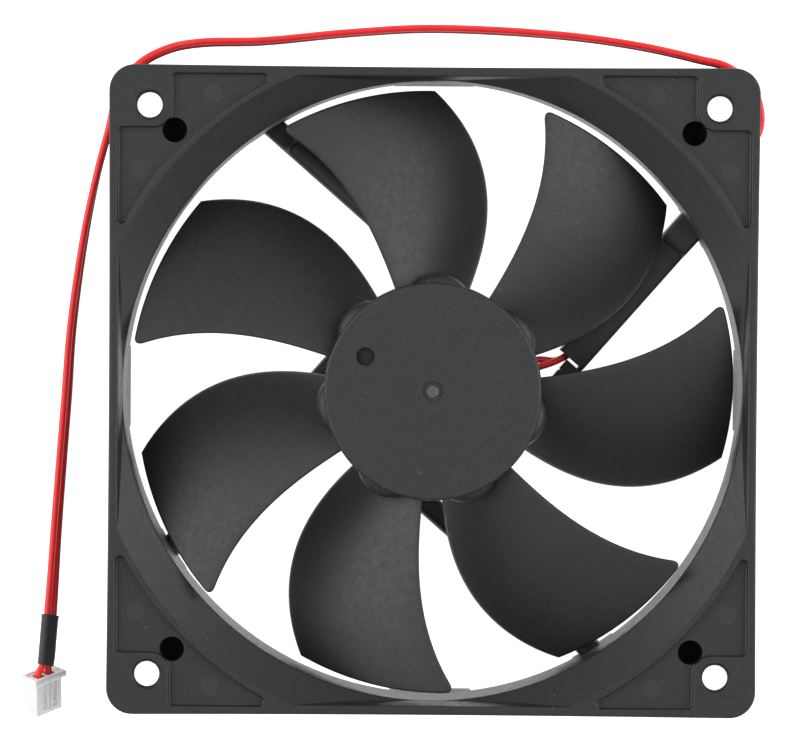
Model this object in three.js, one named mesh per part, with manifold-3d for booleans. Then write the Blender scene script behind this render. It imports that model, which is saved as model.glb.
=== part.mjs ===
// A 120 mm axial case fan: square frame, seven-bladed impeller, brushless motor on two ball
// bearings, and a two-wire lead with a small connector.
// Millimetres, +Z towards the intake side. The origin is the centre of the back face, so the
// fan lies on its back on the plane z = 0.
import * as THREE from 'three';
import { mergeVertices } from 'three/addons/utils/BufferGeometryUtils.js';
import Module from 'manifold-3d';

const wasm = await Module();
wasm.setup();

// ---- Driving dimensions -------------------------------------------------------------------

const TURN = 2 * Math.PI;
const DUCT_FACETS = 48;
const ROTOR_FACETS = 42;
const SMALL_FACETS = 20;
const SIDE = 120; // frame width and height
const DEPTH = 25; // frame depth
const CORNER_RADIUS = 4.8;
const FLANGE = 4.2; // thickness of the two square flanges
const HOLE_SPACING = 105;
const FRONT_HOLE_RADIUS = 2.3; // screw holes in the front flange
const BACK_HOLE_RADIUS = 5.2; // wider ones behind them, which let the screw head and driver through

const THROAT_RADIUS = 57.5;
const DUCT_OUTER_RADIUS = 59;
const FLARE_RADIUS = 63.5; // edge of the flare cone on the front and back faces
const FLARE_DEPTH = 5;
const FLARE_HALF_WIDTH = 58.1; // flat walls that cut the flare off along the four sides
const EXIT_HALF_WIDTH = 57; // flats on the duct wall at the back, in the middle of the four sides

const POCKET_DEPTH = 1.2; // corner recesses of the front face
const POCKET_HALF_WIDTH = 58.4;
const POCKET_INNER_RADIUS = 64.7;
const POCKET_TIP_RADIUS = 0.9;
const POCKET_FILLET = 1;
const BOSS_EDGE = 48.5; // screw bosses begin here, measured from the centre lines
const BOSS_FILLET = 3.3;
const CORE_HOLE_OFFSET = 47.94; // blind holes beside the screw bosses
const CORE_HOLE_RADIUS = 2.3;
const CORE_BOSS_RADIUS = 3.6;
const CORE_BOSS_LOW = 17;
const CORE_HOLE_FLOOR = 17.8;

const STRUT_COUNT = 4;
const STRUT_HEADING = -41.2; // degrees, inward heading of the first strut
const STRUT_OFFSET = 17; // centre line of a strut to the fan's axis
const STRUT_WIDTH = 4.2;
const STRUT_HEIGHT = 4;
const STRUT_OUTER_END = 58;
const STRUT_END_RADIUS = 58.4; // the struts stop inside the duct wall
const STRUT_ROUND = 1.4; // rounding along a strut's top edges
const STRUT_INNER_END = 8;
const GUSSET_OUTER = 55.7;
const GUSSET_LENGTH = 4.5;
const GUSSET_HEIGHT = 6.8;
const ROOT_PAD_WIDTH = 9; // stretch of the duct wall that is left straight at a strut

const CHANNEL_STRUT = 1; // this strut carries the wires
const CHANNEL_NEAR = 13.9; // channel walls, measured from the fan's axis
const CHANNEL_FAR = 18;
const CHANNEL_HEIGHT = 4;
const CHANNEL_START = 21;
const CHANNEL_END = 66;
const DUCT_SLOT_START = 53.6; // from here out the wires' slot is higher, under the gusset
const DUCT_SLOT_HEIGHT = 5.6;
const WIDE_STRUT_NEAR = 13.2;
const WIDE_STRUT_FAR = 19;
const WIDE_STRUT_START = 21.5;
const NARROW_STRUT_NEAR = 15.5;
const WIDE_STRUT_HEIGHT = 4.7;

const BASE_RADIUS = 20;
const BASE_FLOOR = 2;
const BASE_RIM_INNER = 18.9;
const BASE_RIM_TOP = 4.5;
const LABEL_RECESS_RADIUS = 17.3;
const LABEL_RECESS_DEPTH = 0.5;
const LABEL_RADIUS = 17;
const LABEL_LOW = 0.12;
const LABEL_HIGH = 0.34;
const TUBE_HOLE_RADIUS = 5.1;
const TUBE_BOSS_RADIUS = 6.5;
const TUBE_BOSS_TOP = 4.4;
const WIRE_NOTCH_WIDTH = 4;
const WIRE_NOTCH_HEADING = 13.4;

const BLADE_COUNT = 7;
const BLADE_TIP_RADIUS = 56;
const BLADE_ROOT_RADIUS = 19.3;
const HUB_RADIUS = 20.15;
const HUB_INNER_RADIUS = 18.8;
const HUB_TOP = 24.3;
const HUB_CEILING = 22.9;
const HUB_BOTTOM = 6.5;
const HUB_RIM = 0.8;
const HUB_BOSS_RADIUS = 4.7; // grips the shaft's bushing under the ceiling
const HUB_BOSS_LOW = 20.2;
const HUB_SOCKET_RADIUS = 3.1;

const TUBE_RADIUS = 5; // bearing tube
const TUBE_LOW = 0.9;
const TUBE_HIGH = 19.3;
const SHAFT_RADIUS = 1.5;
const SHAFT_LOW = 2.4;
const SHAFT_HIGH = 22.4;
const GROOVE_LOW = 3.05; // the clip's groove
const GROOVE_HIGH = 3.65;
const BUSHING_LOW = 20.4;
const BUSHING_HIGH = 22.8;
const BUSHING_RADIUS = 3;
const BALL_RADIUS = 0.75;
const BALL_PITCH_RADIUS = 2.75;
const BALLS = 7;
const BEARING_WIDTH = 4;
const BEARING_BORE = 1.55;
const BEARING_RADIUS = 4;
const SHIELD_INNER = 2.5;
const SHIELD_OUTER = 3.6;
const SHIELD_THICKNESS = 0.2;
const REAR_BEARING_LOW = 4;
const FRONT_BEARING_LOW = 14.2;

const YOKE_RADIUS = 18.6;
const YOKE_LOW = 7.5;
const YOKE_HIGH = 22.6;
const YOKE_HOLE_RADIUS = 5.1;
const MAGNET_OUTER = 17.4;
const MAGNET_INNER = 15.6;
const MAGNET_LOW = 8;
const MAGNET_HIGH = 20.5;
const STATOR_LOW = 10;
const STATOR_HIGH = 16;
const STATOR_BORE = 5.2;
const SHOE_INNER = 13.2;
const SHOE_OUTER = 15.1;
const POLES = 4;
const BOARD_LOW = 4.6;
const BOARD_HIGH = 5.6;
const BOARD_INNER = 5.4;
const BOARD_OUTER = 16.5;
const PIN_HEADINGS = [45, 135, 225];
const PIN_DISTANCE = 8.2;
const PIN_RADIUS = 0.35;
const PART_GAP = 0.1; // between parts that rest on each other

const WIRE_RADIUS = 0.65;
const WIRE_SIDES = 8;
const WIRE_STEPS = 74;

// The lead's route, chosen by hand: x, y, z of the middle of the pair, the pair's roll in
// degrees (0 is side by side, 90 is the red wire above the black one) and the wires' spacing.
const LEAD_ROUTE = [
  [12.6, 3.0, 3.3, 0, 1.7],
  [16.6, 4.0, 3.3, 0, 1.7],
  [20.3, 4.9, 3.0, 40, 1.7],
  [23.4, 5.35, 2.35, 88, 1.6],
  [25.9, 6.65, 2.1, 95, 1.6],
  [29.2, 9.2, 2.05, 95, 1.6],
  [38.5, 19.5, 2.0, 95, 1.6],
  [46.0, 28.0, 2.0, 95, 1.6],
  [50.3, 33.0, 3.0, 95, 1.6],
  [53.6, 37.0, 5.5, 90, 1.6],
  [57.8, 43.2, 6.0, 88, 1.6],
  [61.4, 50.0, 5.95, 85, 1.6],
  [59.8, 57.0, 5.95, 82, 1.6],
  [55.0, 60.9, 5.75, 80, 1.6],
  [49.9, 62.3, 4.7, 80, 1.6],
  [38.9, 64.8, 2.4, 80, 1.6],
  [23.9, 66.8, 1.6, 80, 1.6],
  [-0.6, 67.9, 1.53, 80, 1.6],
  [-15.8, 67.0, 1.53, 80, 1.6],
  [-32.7, 65.3, 1.65, 78, 1.6],
  [-44.0, 64.9, 2.4, 75, 1.6],
  [-49.9, 63.7, 4.2, 74, 1.6],
  [-55.4, 60.7, 5.7, 75, 1.6],
  [-59.2, 56.0, 5.95, 80, 1.6],
  [-61.1, 48.8, 5.3, 85, 1.6],
  [-63.5, 40.2, 3.0, 88, 1.6],
  [-66.0, 28.0, 1.75, 80, 1.6],
  [-68.3, 11.0, 1.5, 72, 1.6],
  [-69.2, -2.2, 1.5, 65, 1.6],
  [-70.05, -13.5, 1.5, 63, 1.6],
  [-71.0, -27.0, 1.7, 60, 1.6],
  [-71.45, -36.0, 3.1, 54, 1.6],
  [-71.78, -42.5, 4.68, 47, 1.6],
  [-72.12, -47.5, 5.6, 47, 1.6],
  [-72.39, -51.4, 6.33, 47, 1.6],
  [-72.6, -52.9, 6.6, 47, 1.6],
  [-72.9, -54.1, 6.42, 47, 2.5],
  [-73.0, -55.4, 6.0, 47, 2.5],
];

// ---- Solids -------------------------------------------------------------------------------

// A closed three.js geometry as a solid, facing out whichever way its profile ran.
function solid(geometry) {
  const bare = new THREE.BufferGeometry();
  bare.setAttribute('position', geometry.getAttribute('position'));
  bare.setIndex(geometry.index);
  const merged = mergeVertices(bare, 1e-4);
  const corners = merged.index.array;
  const kept = [];
  for (let i = 0; i < corners.length; i += 3) {
    const [a, b, c] = [corners[i], corners[i + 1], corners[i + 2]];
    if (a !== b && b !== c && c !== a) kept.push(a, b, c);
  }
  const vertProperties = merged.getAttribute('position').array;
  const build = (triVerts) => new wasm.Manifold(new wasm.Mesh({ numProp: 3, vertProperties, triVerts }));
  const made = build(new Uint32Array(kept));
  return made.volume() > 0 ? made : build(new Uint32Array(kept.reverse()));
}

function geometryOf(made) {
  const mesh = made.getMesh();
  const geometry = new THREE.BufferGeometry();
  geometry.setAttribute('position', new THREE.BufferAttribute(mesh.vertProperties, 3));
  geometry.setIndex(new THREE.BufferAttribute(mesh.triVerts, 1));
  geometry.computeVertexNormals();
  return geometry;
}

// Revolves [radius, height] pairs about the Z axis.
function turned(profile, segments) {
  const points = profile.map(([radius, height]) => new THREE.Vector2(radius, height));
  return solid(new THREE.LatheGeometry(points, segments).rotateX(Math.PI / 2));
}

function disc(radius, low, high, segments) {
  return turned([[0, low], [radius, low], [radius, high], [0, high]], segments);
}

function ring(inner, outer, low, high, segments) {
  return turned([[inner, low], [outer, low], [outer, high], [inner, high], [inner, low]], segments);
}

// An upright cylinder away from the axis.
function post(x, y, radius, low, high, segments) {
  return solid(new THREE.LatheGeometry(
    [[0, low], [radius, low], [radius, high], [0, high]].map(([r, z]) => new THREE.Vector2(r, z)),
    segments,
  ).rotateX(Math.PI / 2).translate(x, y, 0));
}

function block(xLow, xHigh, yLow, yHigh, zLow, zHigh) {
  const geometry = new THREE.BoxGeometry(xHigh - xLow, yHigh - yLow, zHigh - zLow);
  return solid(geometry.translate((xLow + xHigh) / 2, (yLow + yHigh) / 2, (zLow + zHigh) / 2));
}

function prism(shape, low, high, curveSegments) {
  const options = { depth: high - low, bevelEnabled: false, curveSegments };
  return solid(new THREE.ExtrudeGeometry(shape, options).translate(0, 0, low));
}

function roundedRectangle(width, height, radius) {
  const [x, y] = [width / 2, height / 2];
  const shape = new THREE.Shape();
  shape.absarc(x - radius, y - radius, radius, 0, TURN / 4);
  shape.absarc(-x + radius, y - radius, radius, TURN / 4, TURN / 2);
  shape.absarc(-x + radius, -y + radius, radius, TURN / 2, TURN * 3 / 4);
  shape.absarc(x - radius, -y + radius, radius, TURN * 3 / 4, TURN);
  shape.closePath();
  return shape;
}

const radians = (degrees) => degrees * Math.PI / 180;
const join = (first, ...rest) => rest.reduce((sum, next) => sum.add(next), first);
const cut = (first, ...rest) => rest.reduce((left, next) => left.subtract(next), first);
const spun = (made, degrees) => made.rotate([0, 0, degrees]);

// ---- Frame --------------------------------------------------------------------------------

// Turns a solid built along +X, at y = its distance from the axis, into a strut's place.
const onStrut = (made, index) => spun(made.mirror([0, 1, 0]), STRUT_HEADING + 180 - 90 * index);

// One corner pocket: an L round the screw boss, between the flare's ledge and the outer border.
function pocketShape() {
  const edge = POCKET_HALF_WIDTH;
  const tipAcross = edge - POCKET_TIP_RADIUS;
  const tipAlong = Math.sqrt((POCKET_INNER_RADIUS + POCKET_TIP_RADIUS) ** 2 - tipAcross ** 2);
  const tipAngle = Math.atan2(tipAlong, tipAcross);
  const fillet = POCKET_FILLET;
  const boss = BOSS_EDGE + BOSS_FILLET;
  const shape = new THREE.Shape();
  shape.moveTo(edge, tipAlong);
  shape.absarc(edge - fillet, BOSS_EDGE - fillet, fillet, 0, TURN / 4);
  shape.absarc(boss, boss, BOSS_FILLET, TURN * 3 / 4, TURN / 2, true);
  shape.absarc(BOSS_EDGE - fillet, edge - fillet, fillet, 0, TURN / 4);
  shape.absarc(tipAlong, tipAcross, POCKET_TIP_RADIUS, TURN / 4, TURN * 3 / 4 - tipAngle);
  shape.absarc(0, 0, POCKET_INNER_RADIUS, TURN / 4 - tipAngle, tipAngle, true);
  shape.absarc(tipAcross, tipAlong, POCKET_TIP_RADIUS, TURN / 2 + tipAngle, TURN);
  shape.closePath();
  return shape;
}

function flare(faceHeight, throatHeight) {
  const beyond = faceHeight + Math.sign(faceHeight - throatHeight);
  const slope = (FLARE_RADIUS - THROAT_RADIUS) / FLARE_DEPTH;
  const profile = [
    [0, throatHeight],
    [THROAT_RADIUS, throatHeight],
    [FLARE_RADIUS + slope, beyond],
    [0, beyond],
  ];
  const corner = Math.SQRT2;
  const draft = (FLARE_HALF_WIDTH - THROAT_RADIUS) / FLARE_DEPTH;
  const walls = turned([
    [0, throatHeight],
    [THROAT_RADIUS * corner, throatHeight],
    [(FLARE_HALF_WIDTH + draft) * corner, beyond],
    [0, beyond],
  ], 4);
  return turned(profile, DUCT_FACETS).intersect(spun(walls, 45));
}

function strut(index) {
  const carriesWires = index === CHANNEL_STRUT;
  const near = carriesWires ? NARROW_STRUT_NEAR : STRUT_OFFSET - STRUT_WIDTH / 2;
  const far = carriesWires ? WIDE_STRUT_FAR : STRUT_OFFSET + STRUT_WIDTH / 2;
  const arm = strutBar(near, far, STRUT_INNER_END, STRUT_OUTER_END, STRUT_HEIGHT);
  const root = gusset(carriesWires ? WIDE_STRUT_NEAR : near, far);
  if (!carriesWires) return join(arm, root);
  const cover = strutBar(WIDE_STRUT_NEAR, far, WIDE_STRUT_START, STRUT_OUTER_END, WIDE_STRUT_HEIGHT);
  return join(arm, cover, root);
}

// A bar along +X with a rounded top, between two distances from the axis.
function strutBar(near, far, start, end, height) {
  const round = STRUT_ROUND;
  const section = new THREE.Shape();
  section.moveTo(near, 0);
  section.lineTo(far, 0);
  section.absarc(far - round, height - round, round, 0, TURN / 4);
  section.absarc(near + round, height - round, round, TURN / 4, TURN / 2);
  section.closePath();
  const options = { depth: end - start, bevelEnabled: false, curveSegments: 4 };
  const geometry = new THREE.ExtrudeGeometry(section, options);
  return solid(geometry.rotateX(Math.PI / 2).rotateZ(Math.PI / 2).translate(start, 0, 0));
}

// The web that widens a strut upwards where it meets the duct.
function gusset(near, far) {
  const web = new THREE.Shape();
  const inner = GUSSET_OUTER - GUSSET_LENGTH;
  web.moveTo(inner - 2, 0);
  web.lineTo(STRUT_OUTER_END, 0);
  web.lineTo(STRUT_OUTER_END, GUSSET_HEIGHT);
  web.lineTo(GUSSET_OUTER, GUSSET_HEIGHT);
  web.quadraticCurveTo(inner, GUSSET_HEIGHT - 1, inner - 1, STRUT_HEIGHT - 1);
  web.closePath();
  const options = { depth: far - near, bevelEnabled: false, curveSegments: 4 };
  return solid(new THREE.ExtrudeGeometry(web, options).rotateX(Math.PI / 2).translate(0, far, 0));
}

function makeFrame() {
  const outline = roundedRectangle(SIDE, SIDE, CORNER_RADIUS);
  let frame = join(
    prism(outline, 0, FLANGE, 4),
    prism(outline, DEPTH - FLANGE, DEPTH, 4),
    disc(DUCT_OUTER_RADIUS, 1, DEPTH - 1, DUCT_FACETS),
  );
  const flat = EXIT_HALF_WIDTH;
  const flats = block(-flat, flat, -flat, flat, -2, DEPTH);
  const exit = disc(THROAT_RADIUS, -1, FLANGE + 0.5, DUCT_FACETS).intersect(flats);
  frame = cut(
    frame,
    disc(THROAT_RADIUS, FLANGE, DEPTH + 1, DUCT_FACETS),
    exit,
    flare(DEPTH, DEPTH - FLARE_DEPTH),
  );

  let exitFlare = flare(0, FLARE_DEPTH);
  const strutReach = disc(STRUT_END_RADIUS, -1, DEPTH, DUCT_FACETS);
  const struts = [];
  for (let index = 0; index < STRUT_COUNT; index += 1) {
    const half = ROOT_PAD_WIDTH / 2;
    const pad = block(30, 70, STRUT_OFFSET - half, STRUT_OFFSET + half, -2, FLARE_DEPTH + 1);
    exitFlare = exitFlare.subtract(onStrut(pad, index));
    struts.push(onStrut(strut(index).intersect(strutReach), index));
  }
  frame = frame.subtract(exitFlare);
  frame = join(frame, ...struts, disc(BASE_RADIUS, 0, BASE_RIM_TOP, 40));
  frame = cut(
    frame,
    disc(BASE_RIM_INNER, BASE_FLOOR, DEPTH, 40),
    disc(LABEL_RECESS_RADIUS, -1, LABEL_RECESS_DEPTH, 40),
  );
  frame = join(frame, disc(TUBE_BOSS_RADIUS, BASE_FLOOR - 0.5, TUBE_BOSS_TOP, SMALL_FACETS));
  frame = frame.subtract(disc(TUBE_HOLE_RADIUS, -1, DEPTH, SMALL_FACETS));

  const channel = block(CHANNEL_START, CHANNEL_END, CHANNEL_NEAR, CHANNEL_FAR, -1, CHANNEL_HEIGHT);
  const ductSlot = block(DUCT_SLOT_START, CHANNEL_END, CHANNEL_NEAR, CHANNEL_FAR, -1, DUCT_SLOT_HEIGHT);
  const notchHalf = WIRE_NOTCH_WIDTH / 2;
  const notch = block(18, 22, -notchHalf, notchHalf, BASE_FLOOR - 0.9, BASE_RIM_TOP + 1);
  const notchOuter = block(19.3, 24.4, -notchHalf, notchHalf, -1, BASE_RIM_TOP + 1);
  frame = cut(
    frame,
    onStrut(channel, CHANNEL_STRUT),
    onStrut(ductSlot, CHANNEL_STRUT),
    spun(notch, WIRE_NOTCH_HEADING),
    spun(notchOuter, WIRE_NOTCH_HEADING),
  );

  const half = HOLE_SPACING / 2;
  for (let quarter = 0; quarter < 4; quarter += 1) {
    const bossTop = DEPTH - FLANGE + 1;
    const boss = post(CORE_HOLE_OFFSET, CORE_HOLE_OFFSET, CORE_BOSS_RADIUS, CORE_BOSS_LOW, bossTop, 12);
    const pocket = prism(pocketShape(), DEPTH - POCKET_DEPTH, DEPTH + 1, 3);
    const frontHole = post(half, half, FRONT_HOLE_RADIUS, DEPTH / 2, DEPTH + 1, 16);
    const backHole = post(half, half, BACK_HOLE_RADIUS, -1, DEPTH / 2, 20);
    const core = post(CORE_HOLE_OFFSET, CORE_HOLE_OFFSET, CORE_HOLE_RADIUS, CORE_HOLE_FLOOR, DEPTH + 1, 12);
    frame = frame.add(spun(boss, 90 * quarter));
    frame = cut(frame, ...[pocket, frontHole, backHole, core].map((piece) => spun(piece, 90 * quarter)));
  }
  return frame;
}

// ---- Impeller -----------------------------------------------------------------------------

// A blade's edges at the root, mid-span and tip: radius, the angles of the leading and trailing
// edges in degrees, and their heights.
const BLADE_STATIONS = [
  { radius: BLADE_ROOT_RADIUS, lead: 110.7, trail: 69.8, leadHeight: 21.6, trailHeight: 8.2 },
  { radius: 37, lead: 112.65, trail: 74.05, leadHeight: 22.2, trailHeight: 6.4 },
  { radius: BLADE_TIP_RADIUS, lead: 120.5, trail: 89.9, leadHeight: 22.4, trailHeight: 7.6 },
];
const BLADE_CAMBER = 1.6; // how far the blade bows up from the straight line between its edges
const BLADE_THICKNESS = 2;
const BLADE_EDGE_THICKNESS = 0.9;
const BLADE_TIP_CORNER = 1.1;
const PAD_RADIUS = 6.1; // bulges under the hub's rim at the trailing half of each root
const PAD_DISTANCE = 15.7;
const PAD_HEADING = 86.4;
const PAD_LOW = 12.5;
const PAD_HIGH = 22.8;
const PAD_EDGE = 0.7;

// Value of a station's quantity at a radius, by the parabola through the three stations.
function alongBlade(radius, quantity) {
  return BLADE_STATIONS.reduce((sum, station, i) => {
    const others = BLADE_STATIONS.filter((_, j) => j !== i);
    const weight = others.reduce((w, o) => w * (radius - o.radius) / (station.radius - o.radius), 1);
    return sum + weight * station[quantity];
  }, 0);
}

// A point of the blade: radius, chord position 0 at the leading edge to 1 at the trailing edge,
// and side 1 for the upper skin or -1 for the lower one.
function bladePoint(radius, chord, side) {
  const { lerp } = THREE.MathUtils;
  const angle = radians(lerp(alongBlade(radius, 'lead'), alongBlade(radius, 'trail'), chord));
  const line = lerp(alongBlade(radius, 'leadHeight'), alongBlade(radius, 'trailHeight'), chord);
  const bow = Math.max(0, 4 * chord * (1 - chord));
  const thickness = lerp(BLADE_EDGE_THICKNESS, BLADE_THICKNESS, Math.sqrt(bow));
  const height = line + BLADE_CAMBER * bow + side * thickness / 2;
  return [radius * Math.cos(angle), radius * Math.sin(angle), height];
}

function makeBlade() {
  const rows = 4; // spans between the root and the tip's rounded corners
  const columns = 5;
  const shoulder = BLADE_TIP_RADIUS - BLADE_TIP_CORNER;
  const radii = [];
  for (let row = 0; row <= rows; row += 1) {
    radii.push(THREE.MathUtils.lerp(BLADE_ROOT_RADIUS, shoulder, row / rows));
  }
  radii.push(BLADE_TIP_RADIUS - BLADE_TIP_CORNER * 0.3, BLADE_TIP_RADIUS);
  const trims = radii.map((radius) => {
    const rise = THREE.MathUtils.clamp((radius - shoulder) / BLADE_TIP_CORNER, 0, 1);
    return (1 - Math.sqrt(1 - rise ** 2)) * BLADE_TIP_CORNER;
  });
  const skins = [1, -1].map((side) => radii.map((radius, row) => {
    const chordLength = radius * radians(alongBlade(radius, 'lead') - alongBlade(radius, 'trail'));
    const trim = trims[row] / chordLength;
    const line = [];
    for (let column = 0; column <= columns; column += 1) {
      line.push(bladePoint(radius, THREE.MathUtils.lerp(trim, 1, column / columns), side));
    }
    return line;
  }));

  const positions = [];
  const quad = (a, b, c, d) => positions.push(...a, ...b, ...c, ...a, ...c, ...d);
  const [upper, lower] = skins;
  const last = radii.length - 1;
  for (let row = 0; row < last; row += 1) {
    for (let column = 0; column < columns; column += 1) {
      quad(upper[row][column], upper[row + 1][column], upper[row + 1][column + 1], upper[row][column + 1]);
      quad(lower[row][column], lower[row][column + 1], lower[row + 1][column + 1], lower[row + 1][column]);
    }
    quad(lower[row][0], lower[row + 1][0], upper[row + 1][0], upper[row][0]);
    quad(upper[row][columns], upper[row + 1][columns], lower[row + 1][columns], lower[row][columns]);
  }
  for (let column = 0; column < columns; column += 1) {
    quad(lower[0][column], upper[0][column], upper[0][column + 1], lower[0][column + 1]);
    quad(upper[last][column], lower[last][column], lower[last][column + 1], upper[last][column + 1]);
  }
  const geometry = new THREE.BufferGeometry();
  geometry.setAttribute('position', new THREE.BufferAttribute(new Float32Array(positions), 3));
  return solid(geometry);
}

function makeImpeller() {
  const rim = HUB_RIM;
  const rimCentre = HUB_RADIUS - rim;
  const hubProfile = [[0, HUB_BOTTOM], [HUB_RADIUS, HUB_BOTTOM]];
  for (let step = 0; step <= 3; step += 1) {
    const angle = step * TURN / 12;
    hubProfile.push([rimCentre + rim * Math.cos(angle), HUB_TOP - rim + rim * Math.sin(angle)]);
  }
  hubProfile.push([0, HUB_TOP]);
  let impeller = turned(hubProfile, ROTOR_FACETS);
  const blade = makeBlade();
  const heading = radians(PAD_HEADING);
  const padProfile = [
    [0, PAD_LOW], [PAD_RADIUS, PAD_LOW], [PAD_RADIUS, PAD_HIGH - PAD_EDGE - 0.5],
    [PAD_RADIUS - PAD_EDGE, PAD_HIGH - 0.2], [0, PAD_HIGH],
  ];
  const pad = turned(padProfile, 12)
    .translate([PAD_DISTANCE * Math.cos(heading), PAD_DISTANCE * Math.sin(heading), 0]);
  for (let index = 0; index < BLADE_COUNT; index += 1) {
    impeller = join(impeller, spun(blade, 360 * index / BLADE_COUNT), spun(pad, 360 * index / BLADE_COUNT));
  }
  impeller = impeller.subtract(disc(HUB_INNER_RADIUS, -1, HUB_CEILING, ROTOR_FACETS));
  impeller = impeller.add(disc(HUB_BOSS_RADIUS, HUB_BOSS_LOW, HUB_CEILING + 0.2, SMALL_FACETS));
  impeller = impeller.subtract(disc(HUB_SOCKET_RADIUS, HUB_BOSS_LOW - 1, HUB_CEILING + 0.05, SMALL_FACETS));
  return impeller;
}

// ---- Shaft and bearings -------------------------------------------------------------------

function makeBearingTube() {
  const seat = BEARING_RADIUS + 0.05;
  const shoulder = 3.4;
  const stepHigh = FRONT_BEARING_LOW - PART_GAP;
  const stepLow = REAR_BEARING_LOW + BEARING_WIDTH + PART_GAP;
  return turned([
    [TUBE_RADIUS, TUBE_LOW], [TUBE_RADIUS, TUBE_HIGH],
    [seat, TUBE_HIGH], [seat, stepHigh], [shoulder, stepHigh],
    [shoulder, stepLow], [seat, stepLow], [seat, TUBE_LOW],
    [TUBE_RADIUS, TUBE_LOW],
  ], SMALL_FACETS);
}

function makeShaft() {
  const bevel = 0.2;
  const neck = 1.1;
  return turned([
    [0, SHAFT_LOW], [SHAFT_RADIUS - bevel, SHAFT_LOW], [SHAFT_RADIUS, SHAFT_LOW + bevel],
    [SHAFT_RADIUS, GROOVE_LOW], [neck, GROOVE_LOW], [neck, GROOVE_HIGH], [SHAFT_RADIUS, GROOVE_HIGH],
    [SHAFT_RADIUS, SHAFT_HIGH], [0, SHAFT_HIGH],
  ], SMALL_FACETS);
}

function makeOuterRing(low) {
  const middle = low + BEARING_WIDTH / 2;
  const high = low + BEARING_WIDTH;
  const seat = SHIELD_OUTER + 0.05;
  const ledge = 0.5;
  const land = 3.15;
  const groove = 3.56;
  return turned([
    [seat, low], [BEARING_RADIUS, low], [BEARING_RADIUS, high], [seat, high],
    [seat, high - ledge], [land, high - ledge],
    [land, middle + BALL_RADIUS], [groove, middle + 0.3],
    [groove, middle - 0.3], [land, middle - BALL_RADIUS],
    [land, low + ledge], [seat, low + ledge], [seat, low],
  ], SMALL_FACETS);
}

function makeInnerRing(low) {
  const middle = low + BEARING_WIDTH / 2;
  const high = low + BEARING_WIDTH;
  const land = 2.4;
  const groove = 1.94;
  return turned([
    [BEARING_BORE, low], [land, low],
    [land, middle - BALL_RADIUS], [groove, middle - 0.3],
    [groove, middle + 0.3], [land, middle + BALL_RADIUS],
    [land, high], [BEARING_BORE, high], [BEARING_BORE, low],
  ], SMALL_FACETS);
}

// The balls held in their cage.
function makeBallSet(low) {
  const middle = low + BEARING_WIDTH / 2;
  const cageHalf = 0.17;
  const cageHeight = 0.4;
  const [inner, outer] = [BALL_PITCH_RADIUS - cageHalf, BALL_PITCH_RADIUS + cageHalf];
  let set = ring(inner, outer, middle - cageHeight, middle + cageHeight, 2 * BALLS);
  for (let index = 0; index < BALLS; index += 1) {
    const heading = index * TURN / BALLS;
    const ball = solid(new THREE.SphereGeometry(BALL_RADIUS, 6, 4));
    set = set.add(ball.translate([
      BALL_PITCH_RADIUS * Math.cos(heading), BALL_PITCH_RADIUS * Math.sin(heading), middle,
    ]));
  }
  return set;
}

function makePreloadSpring() {
  const coilRadius = 2.05;
  const wire = 0.17;
  const steps = 30;
  const stepsPerTurn = 10;
  const low = FRONT_BEARING_LOW + BEARING_WIDTH + 0.25;
  const high = BUSHING_LOW - 0.25;
  const points = [];
  for (let step = 0; step <= steps; step += 1) {
    const angle = step * TURN / stepsPerTurn;
    const height = THREE.MathUtils.lerp(low + wire, high - wire, step / steps);
    points.push(new THREE.Vector3(coilRadius * Math.cos(angle), coilRadius * Math.sin(angle), height));
  }
  return tube(points, wire, 6, steps);
}

// An open ring that snaps into the shaft's groove.
function makeRetainingClip() {
  const clip = ring(1.25, 2.6, GROOVE_LOW + PART_GAP, GROOVE_HIGH - PART_GAP, SMALL_FACETS);
  const mouth = block(0, 4, -0.8, 0.8, GROOVE_LOW - 1, GROOVE_HIGH + 1);
  return clip.subtract(mouth);
}

// ---- Motor --------------------------------------------------------------------------------

function makeYoke() {
  const inner = YOKE_RADIUS - 1;
  const under = YOKE_HIGH - 0.8;
  return turned([
    [inner, YOKE_LOW], [YOKE_RADIUS, YOKE_LOW], [YOKE_RADIUS, YOKE_HIGH], [YOKE_HOLE_RADIUS, YOKE_HIGH],
    [YOKE_HOLE_RADIUS, under], [inner, under], [inner, YOKE_LOW],
  ], ROTOR_FACETS);
}

function makeStatorCore() {
  const hub = 7.2;
  const armHalf = 1.5;
  const slotHalf = 1.6;
  const parts = [ring(STATOR_BORE, hub, STATOR_LOW, STATOR_HIGH, SMALL_FACETS)];
  let shoes = ring(SHOE_INNER, SHOE_OUTER, STATOR_LOW, STATOR_HIGH, 40);
  for (let pole = 0; pole < POLES; pole += 1) {
    const arm = block(hub - 0.4, SHOE_INNER + 0.4, -armHalf, armHalf, STATOR_LOW, STATOR_HIGH);
    const slot = block(hub, SHOE_OUTER + 1, -slotHalf, slotHalf, STATOR_LOW - 1, STATOR_HIGH + 1);
    parts.push(spun(arm, 90 * pole));
    shoes = shoes.subtract(spun(slot, 45 + 90 * pole));
  }
  return join(shoes, ...parts);
}

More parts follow.
